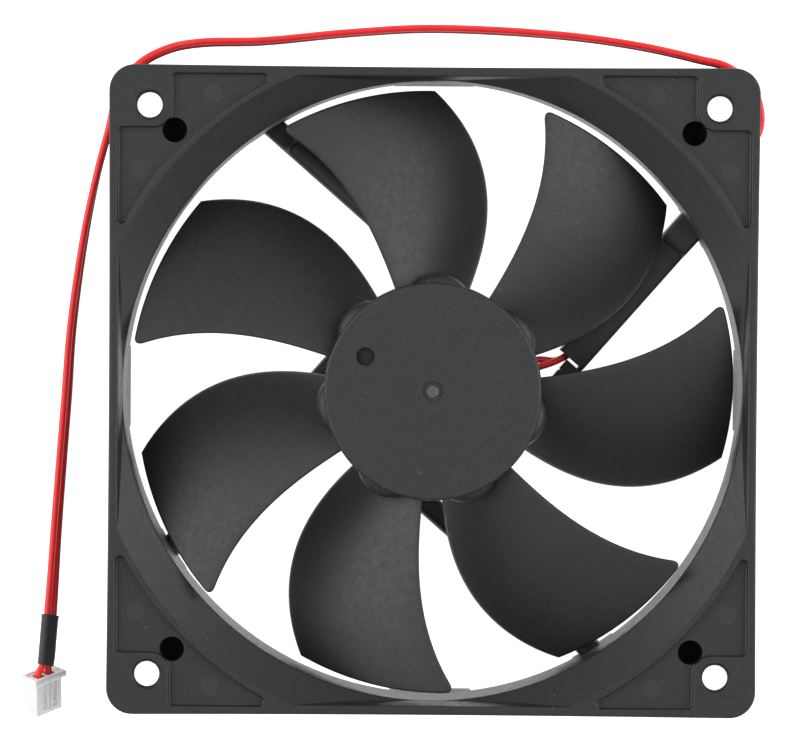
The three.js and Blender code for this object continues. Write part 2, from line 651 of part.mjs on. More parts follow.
// A plastic end plate of the stator, built for the upper end; three lugs hold the winding pins.
function makeInsulator(withLugs) {
  const low = STATOR_HIGH + PART_GAP;
  const high = low + 0.7;
  const hub = 7.4;
  const armHalf = 1.65;
  const wallHalf = 3.6; // the wall that keeps a coil off the pole shoe
  const wallHeight = 2.7;
  let plate = ring(STATOR_BORE, hub, low, high, SMALL_FACETS);
  for (let pole = 0; pole < POLES; pole += 1) {
    const arm = block(hub - 0.4, SHOE_INNER, -armHalf, armHalf, low, high);
    const wall = block(SHOE_INNER - 0.5, SHOE_INNER + 0.1, -wallHalf, wallHalf, low, low + wallHeight);
    plate = join(plate, spun(arm, 90 * pole), spun(wall, 90 * pole));
  }
  if (!withLugs) return plate;
  PIN_HEADINGS.forEach((degrees) => {
    plate = plate.add(spun(post(PIN_DISTANCE, 0, 1.2, low, high, 12), degrees));
  });
  return plate;
}

function makeWindingPin(degrees) {
  return spun(post(PIN_DISTANCE, 0, PIN_RADIUS, BOARD_LOW - 0.4, 9, 8), degrees);
}

// A coil wound round one pole, as a closed loop with round corners.
function makeWinding(pole) {
  const start = 7.8;
  const depth = 4.6;
  const loop = roundedRectangle(7.8, 11.6, 1.6);
  loop.holes.push(roundedRectangle(3.8, 8, 0.5));
  const options = { depth, bevelEnabled: false, curveSegments: 2 };
  const geometry = new THREE.ExtrudeGeometry(loop, options).translate(0, 0, start);
  const middle = (STATOR_LOW + STATOR_HIGH) / 2;
  return spun(solid(geometry.rotateX(TURN / 4).rotateZ(TURN / 4).translate(0, 0, middle)), 90 * pole);
}

function makeCircuitBoard() {
  let board = ring(BOARD_INNER, BOARD_OUTER, BOARD_LOW, BOARD_HIGH, 40);
  PIN_HEADINGS.forEach((degrees) => {
    const hole = post(PIN_DISTANCE, 0, PIN_RADIUS + 0.2, BOARD_LOW - 1, BOARD_HIGH + 1, 8);
    board = board.subtract(spun(hole, degrees));
  });
  return board;
}

const ON_BOARD = BOARD_HIGH + PART_GAP;
const makeHallSensor = () => spun(block(15, 16.3, -2, 2, ON_BOARD, 7.5), 45);
const makeCapacitor = () => post(7.8, -7.8, 2, ON_BOARD, 9.4, 16);
const makeDiode = () => spun(block(10.6, 12.4, -1.7, 1.7, ON_BOARD, 6.8), 135);

// ---- Lead ---------------------------------------------------------------------------------

function tube(points, radius, sides, steps) {
  const section = new THREE.Shape();
  for (let side = 0; side < sides; side += 1) {
    const angle = side * TURN / sides;
    const corner = [radius * Math.cos(angle), radius * Math.sin(angle)];
    if (side === 0) section.moveTo(...corner);
    else section.lineTo(...corner);
  }
  section.closePath();
  const extrudePath = new THREE.CatmullRomCurve3(points, false, 'centripetal');
  return solid(new THREE.ExtrudeGeometry(section, { steps, bevelEnabled: false, extrudePath }));
}

// One wire of the pair: hand 1 is the red wire, -1 the black one.
function wirePoints(hand) {
  return LEAD_ROUTE.map(([x, y, z, roll, spacing], index) => {
    const before = LEAD_ROUTE[Math.max(0, index - 1)];
    const after = LEAD_ROUTE[Math.min(LEAD_ROUTE.length - 1, index + 1)];
    const heading = new THREE.Vector2(after[0] - before[0], after[1] - before[1]).normalize();
    const across = hand * spacing / 2 * Math.cos(radians(roll));
    const up = hand * spacing / 2 * Math.sin(radians(roll));
    return new THREE.Vector3(x + heading.y * across, y - heading.x * across, z + up);
  });
}

const makeWire = (hand) => tube(wirePoints(hand), WIRE_RADIUS, WIRE_SIDES, WIRE_STEPS);

// The sleeve and the connector are built along -Y from the wires' entry and then tilted, with
// the wires' plane rolled about the lead's own direction.
const LEAD_ROLL = 47;
const SLEEVE_START = [-71.8, -42.8, 4.74];
const SLEEVE_TILT = -10.5;
const SLEEVE_HEADING = -3.9;
const SLEEVE_LENGTH = 9.8;
const ENTRY = [-73.0, -54.1, 6.35];
const CONNECTOR_TILT = 19;

function placeOnLead(made, start, tilt, heading) {
  return made.rotate([0, LEAD_ROLL, 0]).rotate([tilt, 0, 0]).rotate([0, 0, heading]).translate(start);
}

function stadium(width, height) {
  return roundedRectangle(width, height, height / 2 - 0.01);
}

function makeSleeve() {
  const section = stadium(4.3, 2.7);
  section.holes.push(stadium(3.9, 2.3));
  const settings = { depth: SLEEVE_LENGTH, bevelEnabled: false, curveSegments: 3 };
  const geometry = new THREE.ExtrudeGeometry(section, settings);
  return placeOnLead(solid(geometry.rotateX(TURN / 4)), SLEEVE_START, SLEEVE_TILT, SLEEVE_HEADING);
}

const TERMINAL_PITCH = 2.5;
const HOUSING_LENGTH = 7.8;
const HOUSING_LIP = 1.3;
const BODY_HALF_WIDTH = 3.2;
const BODY_HALF_HEIGHT = 1.7;
const LIP_HALF_WIDTH = 4;
const LIP_HALF_HEIGHT = 2.4;
const CAVITY_WIDTH = 2.05;
const CAVITY_HEIGHT = 2;

function makeHousing() {
  let housing = join(
    block(-BODY_HALF_WIDTH, BODY_HALF_WIDTH, -HOUSING_LENGTH, -0.5, -BODY_HALF_HEIGHT, BODY_HALF_HEIGHT),
    block(-LIP_HALF_WIDTH, LIP_HALF_WIDTH, -HOUSING_LIP, 0, -LIP_HALF_HEIGHT, LIP_HALF_HEIGHT),
  );
  [-1, 1].forEach((hand) => {
    const middle = hand * TERMINAL_PITCH / 2;
    const half = CAVITY_WIDTH / 2;
    const deep = CAVITY_HEIGHT / 2;
    const cavity = block(middle - half, middle + half, -HOUSING_LENGTH - 1, 1, -deep, deep);
    const window = block(middle - 0.5, middle + 0.5, -5.6, -2.6, 0.5, 3);
    housing = cut(housing, cavity, window);
  });
  return placeOnLead(housing, ENTRY, CONNECTOR_TILT, 0);
}

// A crimped socket terminal inside one cavity.
function makeTerminal(hand) {
  const middle = hand * TERMINAL_PITCH / 2;
  const box = block(middle - 0.65, middle + 0.65, -7.2, -3.4, -0.7, 0.7);
  const bore = block(middle - 0.35, middle + 0.35, -8, -4.4, -0.4, 0.4);
  const crimp = block(middle - 0.45, middle + 0.45, -3.6, -1.9, -0.6, 0.2);
  return placeOnLead(join(box.subtract(bore), crimp), ENTRY, CONNECTOR_TILT, 0);
}

// ---- Assembly -----------------------------------------------------------------------------

function material(color, roughness, metalness) {
  return new THREE.MeshStandardMaterial({ color, roughness, metalness });
}

const FINISH = {
  housingPlastic: [0x3c3c3e, 0.45, 0],
  impellerPlastic: [0x434346, 0.5, 0],
  brass: [0xb08d4a, 0.35, 1],
  steel: [0xa9abae, 0.3, 1],
  cage: [0x9a7a3f, 0.4, 1],
  yokeSteel: [0x8b8d90, 0.35, 1],
  magnet: [0x2b2a29, 0.6, 0],
  core: [0x777a7d, 0.45, 1],
  nylon: [0xdfe0dc, 0.5, 0],
  copper: [0xb3612e, 0.35, 1],
  board: [0x2c5a38, 0.5, 0],
  chip: [0x19191a, 0.4, 0],
  can: [0xa4a6a8, 0.3, 1],
  label: [0xb9bbbd, 0.4, 0],
  red: [0xcf2a2c, 0.35, 0],
  black: [0x1c1a1b, 0.35, 0],
  sleeve: [0x333133, 0.6, 0],
  tin: [0xc3c4c2, 0.3, 1],
};

const group = new THREE.Group();

function add(name, made, finish) {
  const mesh = new THREE.Mesh(geometryOf(made), material(...FINISH[finish]));
  mesh.name = name;
  group.add(mesh);
}

add('frame', makeFrame(), 'housingPlastic');
add('bearing_tube', makeBearingTube(), 'brass');
add('impeller', makeImpeller(), 'impellerPlastic');
add('shaft', makeShaft(), 'steel');
add('shaft_bushing', ring(BEARING_BORE, BUSHING_RADIUS, BUSHING_LOW, BUSHING_HIGH, SMALL_FACETS), 'brass');
add('retaining_clip', makeRetainingClip(), 'steel');
add('preload_spring', makePreloadSpring(), 'steel');
[['rear', REAR_BEARING_LOW], ['front', FRONT_BEARING_LOW]].forEach(([place, low]) => {
  const high = low + BEARING_WIDTH;
  add(`${place}_bearing_outer_ring`, makeOuterRing(low), 'steel');
  add(`${place}_bearing_inner_ring`, makeInnerRing(low), 'steel');
  add(`${place}_bearing_ball_set`, makeBallSet(low), 'cage');
  const shields = { lower: low + 0.12, upper: high - 0.12 - SHIELD_THICKNESS };
  Object.entries(shields).forEach(([side, bottom]) => {
    const shield = ring(SHIELD_INNER, SHIELD_OUTER, bottom, bottom + SHIELD_THICKNESS, SMALL_FACETS);
    add(`${place}_bearing_${side}_shield`, shield, 'steel');
  });
});
add('rotor_yoke', makeYoke(), 'yokeSteel');
add('rotor_magnet', ring(MAGNET_INNER, MAGNET_OUTER, MAGNET_LOW, MAGNET_HIGH, ROTOR_FACETS), 'magnet');
add('stator_core', makeStatorCore(), 'core');
add('upper_insulator', makeInsulator(false), 'nylon');
const flipped = makeInsulator(true).mirror([0, 0, 1]).translate([0, 0, STATOR_LOW + STATOR_HIGH]);
add('lower_insulator', flipped, 'nylon');
for (let pole = 0; pole < POLES; pole += 1) add(`coil_winding_${pole + 1}`, makeWinding(pole), 'copper');
PIN_HEADINGS.forEach((degrees, index) => add(`winding_pin_${index + 1}`, makeWindingPin(degrees), 'tin'));
add('circuit_board', makeCircuitBoard(), 'board');
add('hall_sensor', makeHallSensor(), 'chip');
add('capacitor', makeCapacitor(), 'can');
add('diode', makeDiode(), 'chip');
add('rear_label', disc(LABEL_RADIUS, LABEL_LOW, LABEL_HIGH, 40), 'label');
add('red_wire', makeWire(1), 'red');
add('black_wire', makeWire(-1), 'black');
add('heat_shrink_sleeve', makeSleeve(), 'sleeve');
add('connector_housing', makeHousing(), 'nylon');
add('red_terminal', makeTerminal(-1), 'tin');
add('black_terminal', makeTerminal(1), 'tin');

export default group;
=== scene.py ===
import math
import random

import bmesh
import bpy
from mathutils import Euler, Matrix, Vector


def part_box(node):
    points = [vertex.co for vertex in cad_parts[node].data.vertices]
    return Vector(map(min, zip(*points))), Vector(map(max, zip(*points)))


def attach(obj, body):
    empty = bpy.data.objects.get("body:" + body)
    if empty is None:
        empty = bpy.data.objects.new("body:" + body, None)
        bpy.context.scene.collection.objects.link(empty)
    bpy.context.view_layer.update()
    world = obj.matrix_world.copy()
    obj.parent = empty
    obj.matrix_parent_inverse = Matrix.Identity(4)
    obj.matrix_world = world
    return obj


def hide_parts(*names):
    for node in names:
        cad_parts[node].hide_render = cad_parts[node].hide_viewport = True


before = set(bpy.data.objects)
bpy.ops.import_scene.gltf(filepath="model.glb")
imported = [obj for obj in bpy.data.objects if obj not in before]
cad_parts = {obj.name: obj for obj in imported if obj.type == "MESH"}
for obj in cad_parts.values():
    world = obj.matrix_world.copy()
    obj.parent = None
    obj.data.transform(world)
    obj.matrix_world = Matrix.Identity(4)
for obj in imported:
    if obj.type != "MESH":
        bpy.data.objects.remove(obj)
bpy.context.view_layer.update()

# All sizes are in millimetres and are the part's own; MM turns them into Blender's metres.
MM = 0.001
TURN = 2 * math.pi

SIDE = 120
DEPTH = 25
CORNER_RADIUS = 4.8
SIDE_BOW = 0.23  # how far each outer side is pulled in at its middle
FLANGE = 4.2
HOLE_OFFSET = 52.5
FRONT_HOLE_RADIUS = 2.3
BACK_HOLE_RADIUS = 5.2
THROAT_RADIUS = 57.5
DUCT_OUTER_RADIUS = 59
FLARE_RADIUS = 63.5
FLARE_DEPTH = 5
FLARE_HALF_WIDTH = 58.1
EXIT_HALF_WIDTH = 57
POCKET_DEPTH = 1.2
POCKET_HALF_WIDTH = 58.4
POCKET_INNER_RADIUS = 64.7
POCKET_TIP_RADIUS = 0.9
POCKET_FILLET = 1
POCKET_FLOOR = DEPTH - POCKET_DEPTH
POCKET_FLOOR_FILLET = 0.4
POCKET_EDGE = 0.22
BOSS_EDGE = 48.5
BOSS_FILLET = 3.3
CORE_HOLE_OFFSET = 47.94
CORE_HOLE_RADIUS = 2.3
CORE_BOSS_RADIUS = 3.6
CORE_BOSS_LOW = 17
CORE_HOLE_FLOOR = 17.8
EJECTOR_PLACES = ((40.9, 54.8), (54.8, 40.9))
EJECTOR_RADIUS = 1.85
EJECTOR_DEPTH = 0.07
FRAME_STEPS = 720

STRUT_COUNT = 4
STRUT_HEADING = -41.2
STRUT_OFFSET = 17
STRUT_WIDTH = 4.2
STRUT_HEIGHT = 4
STRUT_END = 57.2
STRUT_START = 8
GUSSET_LENGTH = 4.5
GUSSET_HEIGHT = 6.8
ROOT_PAD_WIDTH = 9
CHANNEL_STRUT = 1
CHANNEL_NEAR = 13.9
CHANNEL_FAR = 18
CHANNEL_HEIGHT = 4
CHANNEL_START = 21
CHANNEL_END = 66
DUCT_SLOT_START = 53.6
DUCT_SLOT_HEIGHT = 5.6
WIDE_STRUT_NEAR = 13.2
WIDE_STRUT_FAR = 19
WIDE_STRUT_START = 21.5
NARROW_STRUT_NEAR = 15.5
WIDE_STRUT_HEIGHT = 4.7

BASE_RADIUS = 20
BASE_FLOOR = 2
BASE_RIM_INNER = 18.9
BASE_RIM_TOP = 4.5
LABEL_RECESS_RADIUS = 17.3
LABEL_RECESS_DEPTH = 0.5
LABEL_RADIUS = 17
TUBE_HOLE_RADIUS = 5.1
TUBE_BOSS_RADIUS = 6.5
TUBE_BOSS_TOP = 4.4
WIRE_NOTCH_WIDTH = 4
WIRE_NOTCH_HEADING = 13.4

BLADE_COUNT = 7
BLADE_STATIONS = (
    dict(radius=19.3, lead=110.7, trail=69.8, lead_height=21.6, trail_height=8.2),
    dict(radius=37, lead=112.65, trail=74.05, lead_height=22.2, trail_height=6.4),
    dict(radius=56, lead=120.5, trail=89.9, lead_height=22.4, trail_height=7.6),
)
BLADE_CAMBER = 1.6
BLADE_THICKNESS = 2
BLADE_EDGE_THICKNESS = 0.9
BLADE_TIP_CORNER = 1.8
BLADE_TIP_EDGE = 0.3
HUB_RADIUS = 20.15
HUB_INNER_RADIUS = 18.8
HUB_TOP = 24.3
HUB_CEILING = 22.9
SOCKET_TOP = HUB_CEILING + 0.05
HUB_BOTTOM = 6.5
HUB_RIM = 0.6
HUB_BOSS_RADIUS = 4.7
HUB_BOSS_LOW = 20.2
HUB_SOCKET_RADIUS = 3.1
PAD_RADIUS = 6.1
PAD_DISTANCE = 15.7
PAD_HEADING = 86.4
PAD_LOW = 12.5
PAD_HIGH = 22.8
PAD_EDGE = 2.2
GATE_RADIUS = 1.9
GATE_DEPTH = 0.45
GATE_BUTTON_RADIUS = 1.25
INDEX_PLACE = (-12.5, 6.4)
INDEX_RADIUS = 1.7
INDEX_DEPTH = 0.8
PIN_MARK_PLACE = (8.5, 15.4)
PIN_MARK_INNER = 0.62
PIN_MARK_OUTER = 0.78

WIRE_RADIUS = 0.65
# The lead's way, as the middle of the pair of wires (x, y, z), its roll in degrees (90 has
# the red wire above the other one) and the distance between the two wires' centres.
LEAD_ROUTE = (
    (12.6, 3.0, 3.3, 0, 1.7),
    (16.6, 4.0, 3.3, 0, 1.7),
    (20.3, 4.9, 3.0, 40, 1.7),
    (23.4, 5.35, 2.35, 88, 1.6),
    (25.9, 6.65, 2.1, 95, 1.6),
    (29.2, 9.2, 2.05, 95, 1.6),
    (38.5, 19.5, 2.0, 95, 1.6),
    (46.0, 28.0, 2.0, 95, 1.6),
    (50.3, 33.0, 3.0, 95, 1.6),
    (53.6, 37.0, 5.5, 90, 1.6),
    (57.8, 43.2, 6.0, 88, 1.6),
    (61.4, 50.0, 5.95, 85, 1.6),
    (59.8, 57.0, 5.95, 82, 1.6),
    (55.0, 60.9, 5.75, 80, 1.6),
    (49.9, 62.3, 4.7, 80, 1.6),
    (38.9, 64.8, 2.4, 80, 1.6),
    (23.9, 66.8, 1.6, 80, 1.6),
    (-0.6, 67.9, 1.53, 80, 1.6),
    (-15.8, 67.0, 1.53, 80, 1.6),
    (-32.7, 65.3, 1.65, 78, 1.6),
    (-44.0, 64.9, 2.4, 75, 1.6),
    (-49.9, 63.7, 4.2, 74, 1.6),
    (-55.4, 60.7, 5.7, 75, 1.6),
    (-59.2, 56.0, 5.95, 80, 1.6),
    (-61.1, 48.8, 5.3, 85, 1.6),
    (-63.5, 40.2, 3.0, 88, 1.6),
    (-66.0, 28.0, 1.75, 80, 1.6),
    (-68.3, 11.0, 1.5, 72, 1.6),
    (-69.2, -2.2, 1.5, 65, 1.6),
    (-70.05, -13.5, 1.5, 63, 1.6),
    (-71.0, -27.0, 1.7, 60, 1.6),
    (-71.45, -36.0, 3.1, 54, 1.6),
    (-71.78, -42.5, 4.68, 47, 1.6),
    (-72.12, -47.5, 5.6, 47, 1.6),
    (-72.39, -51.4, 6.33, 47, 1.6),
    (-72.6, -52.9, 6.6, 47, 1.6),
    (-72.9, -54.1, 6.42, 47, 2.5),
    (-73.0, -55.4, 6.0, 47, 2.5),
)
WIRE_SIDES = 24
STEPS_PER_SPAN = 6
BLACK_SIDE_FROM = 140  # where the second wire's black side starts, in degrees round from its outer side
BLACK_SIDE_TO = 225

SLEEVE_FROM_Y = -42.8
SLEEVE_LENGTH = 9.8
SLEEVE_WALL = 0.36
SLEEVE_END_FLARE = 0.09
SLEEVE_UNEVENNESS = 0.015

ENTRY = (-73.0, -54.1, 6.35)
CONNECTOR_ROLL = 47
CONNECTOR_TILT = 19
TERMINAL_PITCH = 2.5
CONNECTOR_LENGTH = 7.8
CONNECTOR_HALF_WIDTH = 3.2
CONNECTOR_HALF_HEIGHT = 1.7
LIP_LENGTH = 1.3
LIP_HALF_WIDTH = 4
LIP_HALF_HEIGHT = 2.4


# ---- Camera --------------------------------------------------------------------------------

CAMERA_PLACE = (-6.68, 27.03, 875)
CAMERA_TURN = (-1.652, -0.028, 0.420)  # degrees
CAMERA_LENS = 207.6
CAMERA_SENSOR = 36
CAMERA_REACH = 20  # metres


def make_camera():
    data = bpy.data.cameras.new("camera")
    data.sensor_width = CAMERA_SENSOR
    data.sensor_fit = "HORIZONTAL"
    data.lens = CAMERA_LENS
    data.clip_end = CAMERA_REACH
    camera = bpy.data.objects.new("camera", data)
    camera.location = Vector(CAMERA_PLACE) * MM
    camera.rotation_euler = Euler([math.radians(a) for a in CAMERA_TURN])
    bpy.context.scene.collection.objects.link(camera)
    bpy.context.scene.camera = camera


# ---- Mesh tools ----------------------------------------------------------------------------


def add_object(name, mesh):
    piece = bpy.data.objects.new(name, mesh)
    bpy.context.scene.collection.objects.link(piece)
    return piece


def new_piece(name, points, faces):
    """An object from points in millimetres, with doubled points merged and faces turned out."""
    mesh = bpy.data.meshes.new(name)
    mesh.from_pydata([[c * MM for c in p] for p in points], [], faces)
    work = bmesh.new()
    work.from_mesh(mesh)
    bmesh.ops.remove_doubles(work, verts=work.verts, dist=2e-6)
    bmesh.ops.dissolve_degenerate(work, edges=work.edges, dist=1e-7)
    bmesh.ops.recalc_face_normals(work, faces=work.faces)
    work.to_mesh(mesh)
    work.free()
    return add_object(name, mesh)


def grid_piece(name, rows, wrap_rows=True, caps=False):
    """A skin over rows of points. Each row is a loop; the rows close on themselves or get caps."""
    count, width = len(rows), len(rows[0])
    points = [point for row in rows for point in row]
    faces = []
    for row in range(count if wrap_rows else count - 1):
        after = (row + 1) % count
        for column in range(width):
            beside = (column + 1) % width
            low, high = row * width, after * width
            faces.append((low + column, low + beside, high + beside, high + column))
    if caps:
        faces.append(tuple(range(width)))
        faces.append(tuple((count - 1) * width + column for column in range(width)))
    return new_piece(name, points, faces)


def turned(name, profile, segments, x=0.0, y=0.0):
    """Revolves a closed run of (radius, height) pairs about an upright axis."""
    rows = []
    for step in range(segments):
        angle = TURN * step / segments
        rows.append([(x + r * math.cos(angle), y + r * math.sin(angle), z) for r, z in profile])
    return grid_piece(name, rows)


def eased(corners, sizes, steps=3):
    """Rounds each corner of a closed run of 2-D points; a corner of size 0 stays sharp."""
    count = len(corners)
    eased_points = []
    for index, size in enumerate(sizes):
        here = Vector(corners[index])
        before = Vector(corners[index - 1]) - here
        after = Vector(corners[(index + 1) % count]) - here
        if size == 0:
            eased_points.append(tuple(here))
            continue
        start = here + before.normalized() * min(size, 0.45 * before.length)
        end = here + after.normalized() * min(size, 0.45 * after.length)
        for step in range(steps + 1):
            t = step / steps
            point = start * (1 - t) ** 2 + here * 2 * t * (1 - t) + end * t ** 2
            eased_points.append(tuple(point))
    return eased_points


def apply_modifiers(piece):
    graph = bpy.context.evaluated_depsgraph_get()
    mesh = bpy.data.meshes.new_from_object(piece.evaluated_get(graph))
    piece.modifiers.clear()
    piece.data = mesh
    return piece


def combine(piece, tools, operation):
    """Joins, cuts or intersects closed pieces; the tools are used up."""
    for tool in tools:
        modifier = piece.modifiers.new("combine", "BOOLEAN")
        modifier.operation = operation
        modifier.solver = "MANIFOLD"
        modifier.object = tool
        apply_modifiers(piece)
        bpy.data.objects.remove(tool)
    return piece


def shade(piece, sharp_from=38):
    """Smooth shading that keeps flat faces flat."""
    piece.data.shade_smooth()
    piece.data.set_sharp_from_angle(angle=math.radians(sharp_from))
    modifier = piece.modifiers.new("weighted", "WEIGHTED_NORMAL")
    modifier.keep_sharp = True
    modifier.weight = 80
    return apply_modifiers(piece)


def paint(piece, *finishes):
    piece.data.materials.clear()
    for finish in finishes:
        piece.data.materials.append(finish)


def settle(piece, body, nodes, finish=None):
    """Says what a piece rides on, which CAD nodes it stands for, and its finish."""
    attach(piece, body)
    if nodes:
        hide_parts(*nodes)
    if finish:
        paint(piece, finish)


def spin_points(points, degrees):
    c, s = math.cos(math.radians(degrees)), math.sin(math.radians(degrees))
    return [(x * c - y * s, x * s + y * c, z) for x, y, z in points]


def box_between(name, low, high):
    (x0, y0, z0), (x1, y1, z1) = low, high
    corners = ((x0, y0), (x1, y0), (x1, y1), (x0, y1))
    rows = [[(x, y, z) for x, y in corners] for z in (z0, z1)]
    return grid_piece(name, rows, wrap_rows=False, caps=True)


def moved(piece, change):
    """Changes every point of a piece by a function of its millimetre position."""
    for vertex in piece.data.vertices:
        vertex.co = Vector(change(*(vertex.co / MM))) * MM
    return piece


def flip_if_inside_out(piece):
    work = bmesh.new()
    work.from_mesh(piece.data)
    bmesh.ops.recalc_face_normals(work, faces=work.faces)
    work.to_mesh(piece.data)
    work.free()
    return piece


# ---- Materials -----------------------------------------------------------------------------


class Shader:
    """A material with one Principled shader and short calls for the nodes that feed it."""

    def __init__(self, name, roughness=0.5, metallic=0.0, specular=0.5, **others):
        self.finish = bpy.data.materials.new(name)
        self.finish.use_nodes = True
        self.nodes = self.finish.node_tree.nodes
        self.links = self.finish.node_tree.links
        self.surface = self.nodes["Principled BSDF"]
        self.surface.inputs["Roughness"].default_value = roughness
        self.surface.inputs["Metallic"].default_value = metallic
        self.surface.inputs["Specular IOR Level"].default_value = specular
        for socket, value in others.items():
            self.surface.inputs[socket.replace("_", " ")].default_value = value
        self.place = self.nodes.new("ShaderNodeTexCoord").outputs["Object"]

    def noise(self, size, detail=2.0, roughness=0.5, stretch=None):
        """Noise whose features are about `size` millimetres."""
        texture = self.nodes.new("ShaderNodeTexNoise")
        texture.inputs["Scale"].default_value = 1 / (size * MM)
        texture.inputs["Detail"].default_value = detail
        texture.inputs["Roughness"].default_value = roughness
        place = self.place
        if stretch:
            mapping = self.nodes.new("ShaderNodeMapping")
            mapping.inputs["Scale"].default_value = stretch
            self.links.new(place, mapping.inputs["Vector"])
            place = mapping.outputs["Vector"]
        self.links.new(place, texture.inputs["Vector"])
        return texture.outputs["Fac"]

    def specks(self, size, amount):
        """Sparse round specks: 1 inside a speck, 0 elsewhere."""
        texture = self.nodes.new("ShaderNodeTexVoronoi")
        texture.inputs["Scale"].default_value = 1 / (size * MM)
        self.links.new(self.place, texture.inputs["Vector"])
        return self.ramp(texture.outputs["Distance"], amount * 0.6, amount, 1.0, 0.0)

    def ramp(self, value, low, high, out_low=0.0, out_high=1.0):
        node = self.nodes.new("ShaderNodeMapRange")
        self.links.new(value, node.inputs["Value"])
        limits = {"From Min": low, "From Max": high, "To Min": out_low, "To Max": out_high}
        for socket, number in limits.items():
            node.inputs[socket].default_value = number
        return node.outputs["Result"]

    def times(self, first, second):
        node = self.nodes.new("ShaderNodeMath")
        node.operation = "MULTIPLY"
        self.links.new(first, node.inputs[0])
        self.links.new(second, node.inputs[1])
        return node.outputs["Value"]

    def mix(self, amount, first, second):
        """Blends two colours, each a tuple or a socket."""
        node = self.nodes.new("ShaderNodeMix")
        node.data_type = "RGBA"
        self.links.new(amount, node.inputs["Factor"])
        for socket, value in ((node.inputs[6], first), (node.inputs[7], second)):
            if isinstance(value, tuple):
                socket.default_value = (*value, 1)
            else:
                self.links.new(value, socket)
        return node.outputs[2]

    def colour(self, socket):
        self.links.new(socket, self.surface.inputs["Base Color"])
        return self

    def rough(self, socket):
        self.links.new(socket, self.surface.inputs["Roughness"])
        return self

    def bump(self, height, depth):
        """Relief of about `depth` millimetres."""
        node = self.nodes.new("ShaderNodeBump")
        node.inputs["Strength"].default_value = 1
        node.inputs["Distance"].default_value = depth * MM
        self.links.new(height, node.inputs["Height"])
        self.links.new(node.outputs["Normal"], self.surface.inputs["Normal"])
        return self


def grey(level):
    return (level, level, level * 1.03)


def moulded_plastic(name, level, roughness, grain=0.28, relief=0.012):
    """Dark spark-eroded plastic: fine grain, soft tone changes, a few grains of dust."""
    shader = Shader(name, roughness=roughness, specular=0.5)
    tone = shader.ramp(shader.noise(9, 3), 0.3, 0.7)
    base = shader.mix(tone, grey(level * 0.9), grey(level * 1.12))
    mottle = shader.ramp(shader.noise(grain * 1.6, 2), 0.35, 0.7)
    mottled = shader.mix(mottle, base, grey(level * 1.45))
    dust_patches = shader.ramp(shader.noise(14, 2), 0.45, 0.62)
    dust = shader.times(shader.specks(2.3, 0.045), dust_patches)
    shader.colour(shader.mix(dust, mottled, (0.3, 0.29, 0.28)))
    shader.rough(shader.ramp(shader.noise(1.2, 2), 0.3, 0.7, roughness - 0.05, roughness + 0.06))
    return shader.bump(shader.noise(grain, 3, 0.6), relief).finish


def wire_coat(name, colour, deeper_tone):
    shader = Shader(name, roughness=0.36, specular=0.32, Coat_Weight=0.08, Coat_Roughness=0.25)
    tone = shader.ramp(shader.noise(3.5, 2), 0.35, 0.65)
    shader.colour(shader.mix(tone, colour, deeper_tone))
    shader.rough(shader.ramp(shader.noise(0.8, 2), 0.3, 0.7, 0.3, 0.42))
    return shader.bump(shader.noise(0.5, 2), 0.006).finish


def metal(name, colour, roughness, grain=0.4, stretch=None):
    shader = Shader(name, roughness=roughness, metallic=1.0)
    tone = shader.ramp(shader.noise(grain * 4, 3, stretch=stretch), 0.3, 0.7)
    dark = tuple(c * 0.75 for c in colour)
    shader.colour(shader.mix(tone, colour, dark))
    sheen = shader.noise(grain * 2, 2)
    shader.rough(shader.ramp(sheen, 0.3, 0.7, roughness - 0.06, roughness + 0.1))
    return shader.bump(shader.noise(grain, 2, stretch=stretch), 0.004).finish


def plain_part(name, colour, dark, roughness, grain=0.5, relief=0.006, **others):
    shader = Shader(name, roughness=roughness, **others)
    tone = shader.ramp(shader.noise(grain * 5, 3), 0.3, 0.7)
    shader.colour(shader.mix(tone, colour, dark))
    sheen = shader.noise(grain * 2, 2)
    shader.rough(shader.ramp(sheen, 0.3, 0.7, roughness - 0.05, roughness + 0.08))
    return shader.bump(shader.noise(grain, 2), relief).finish


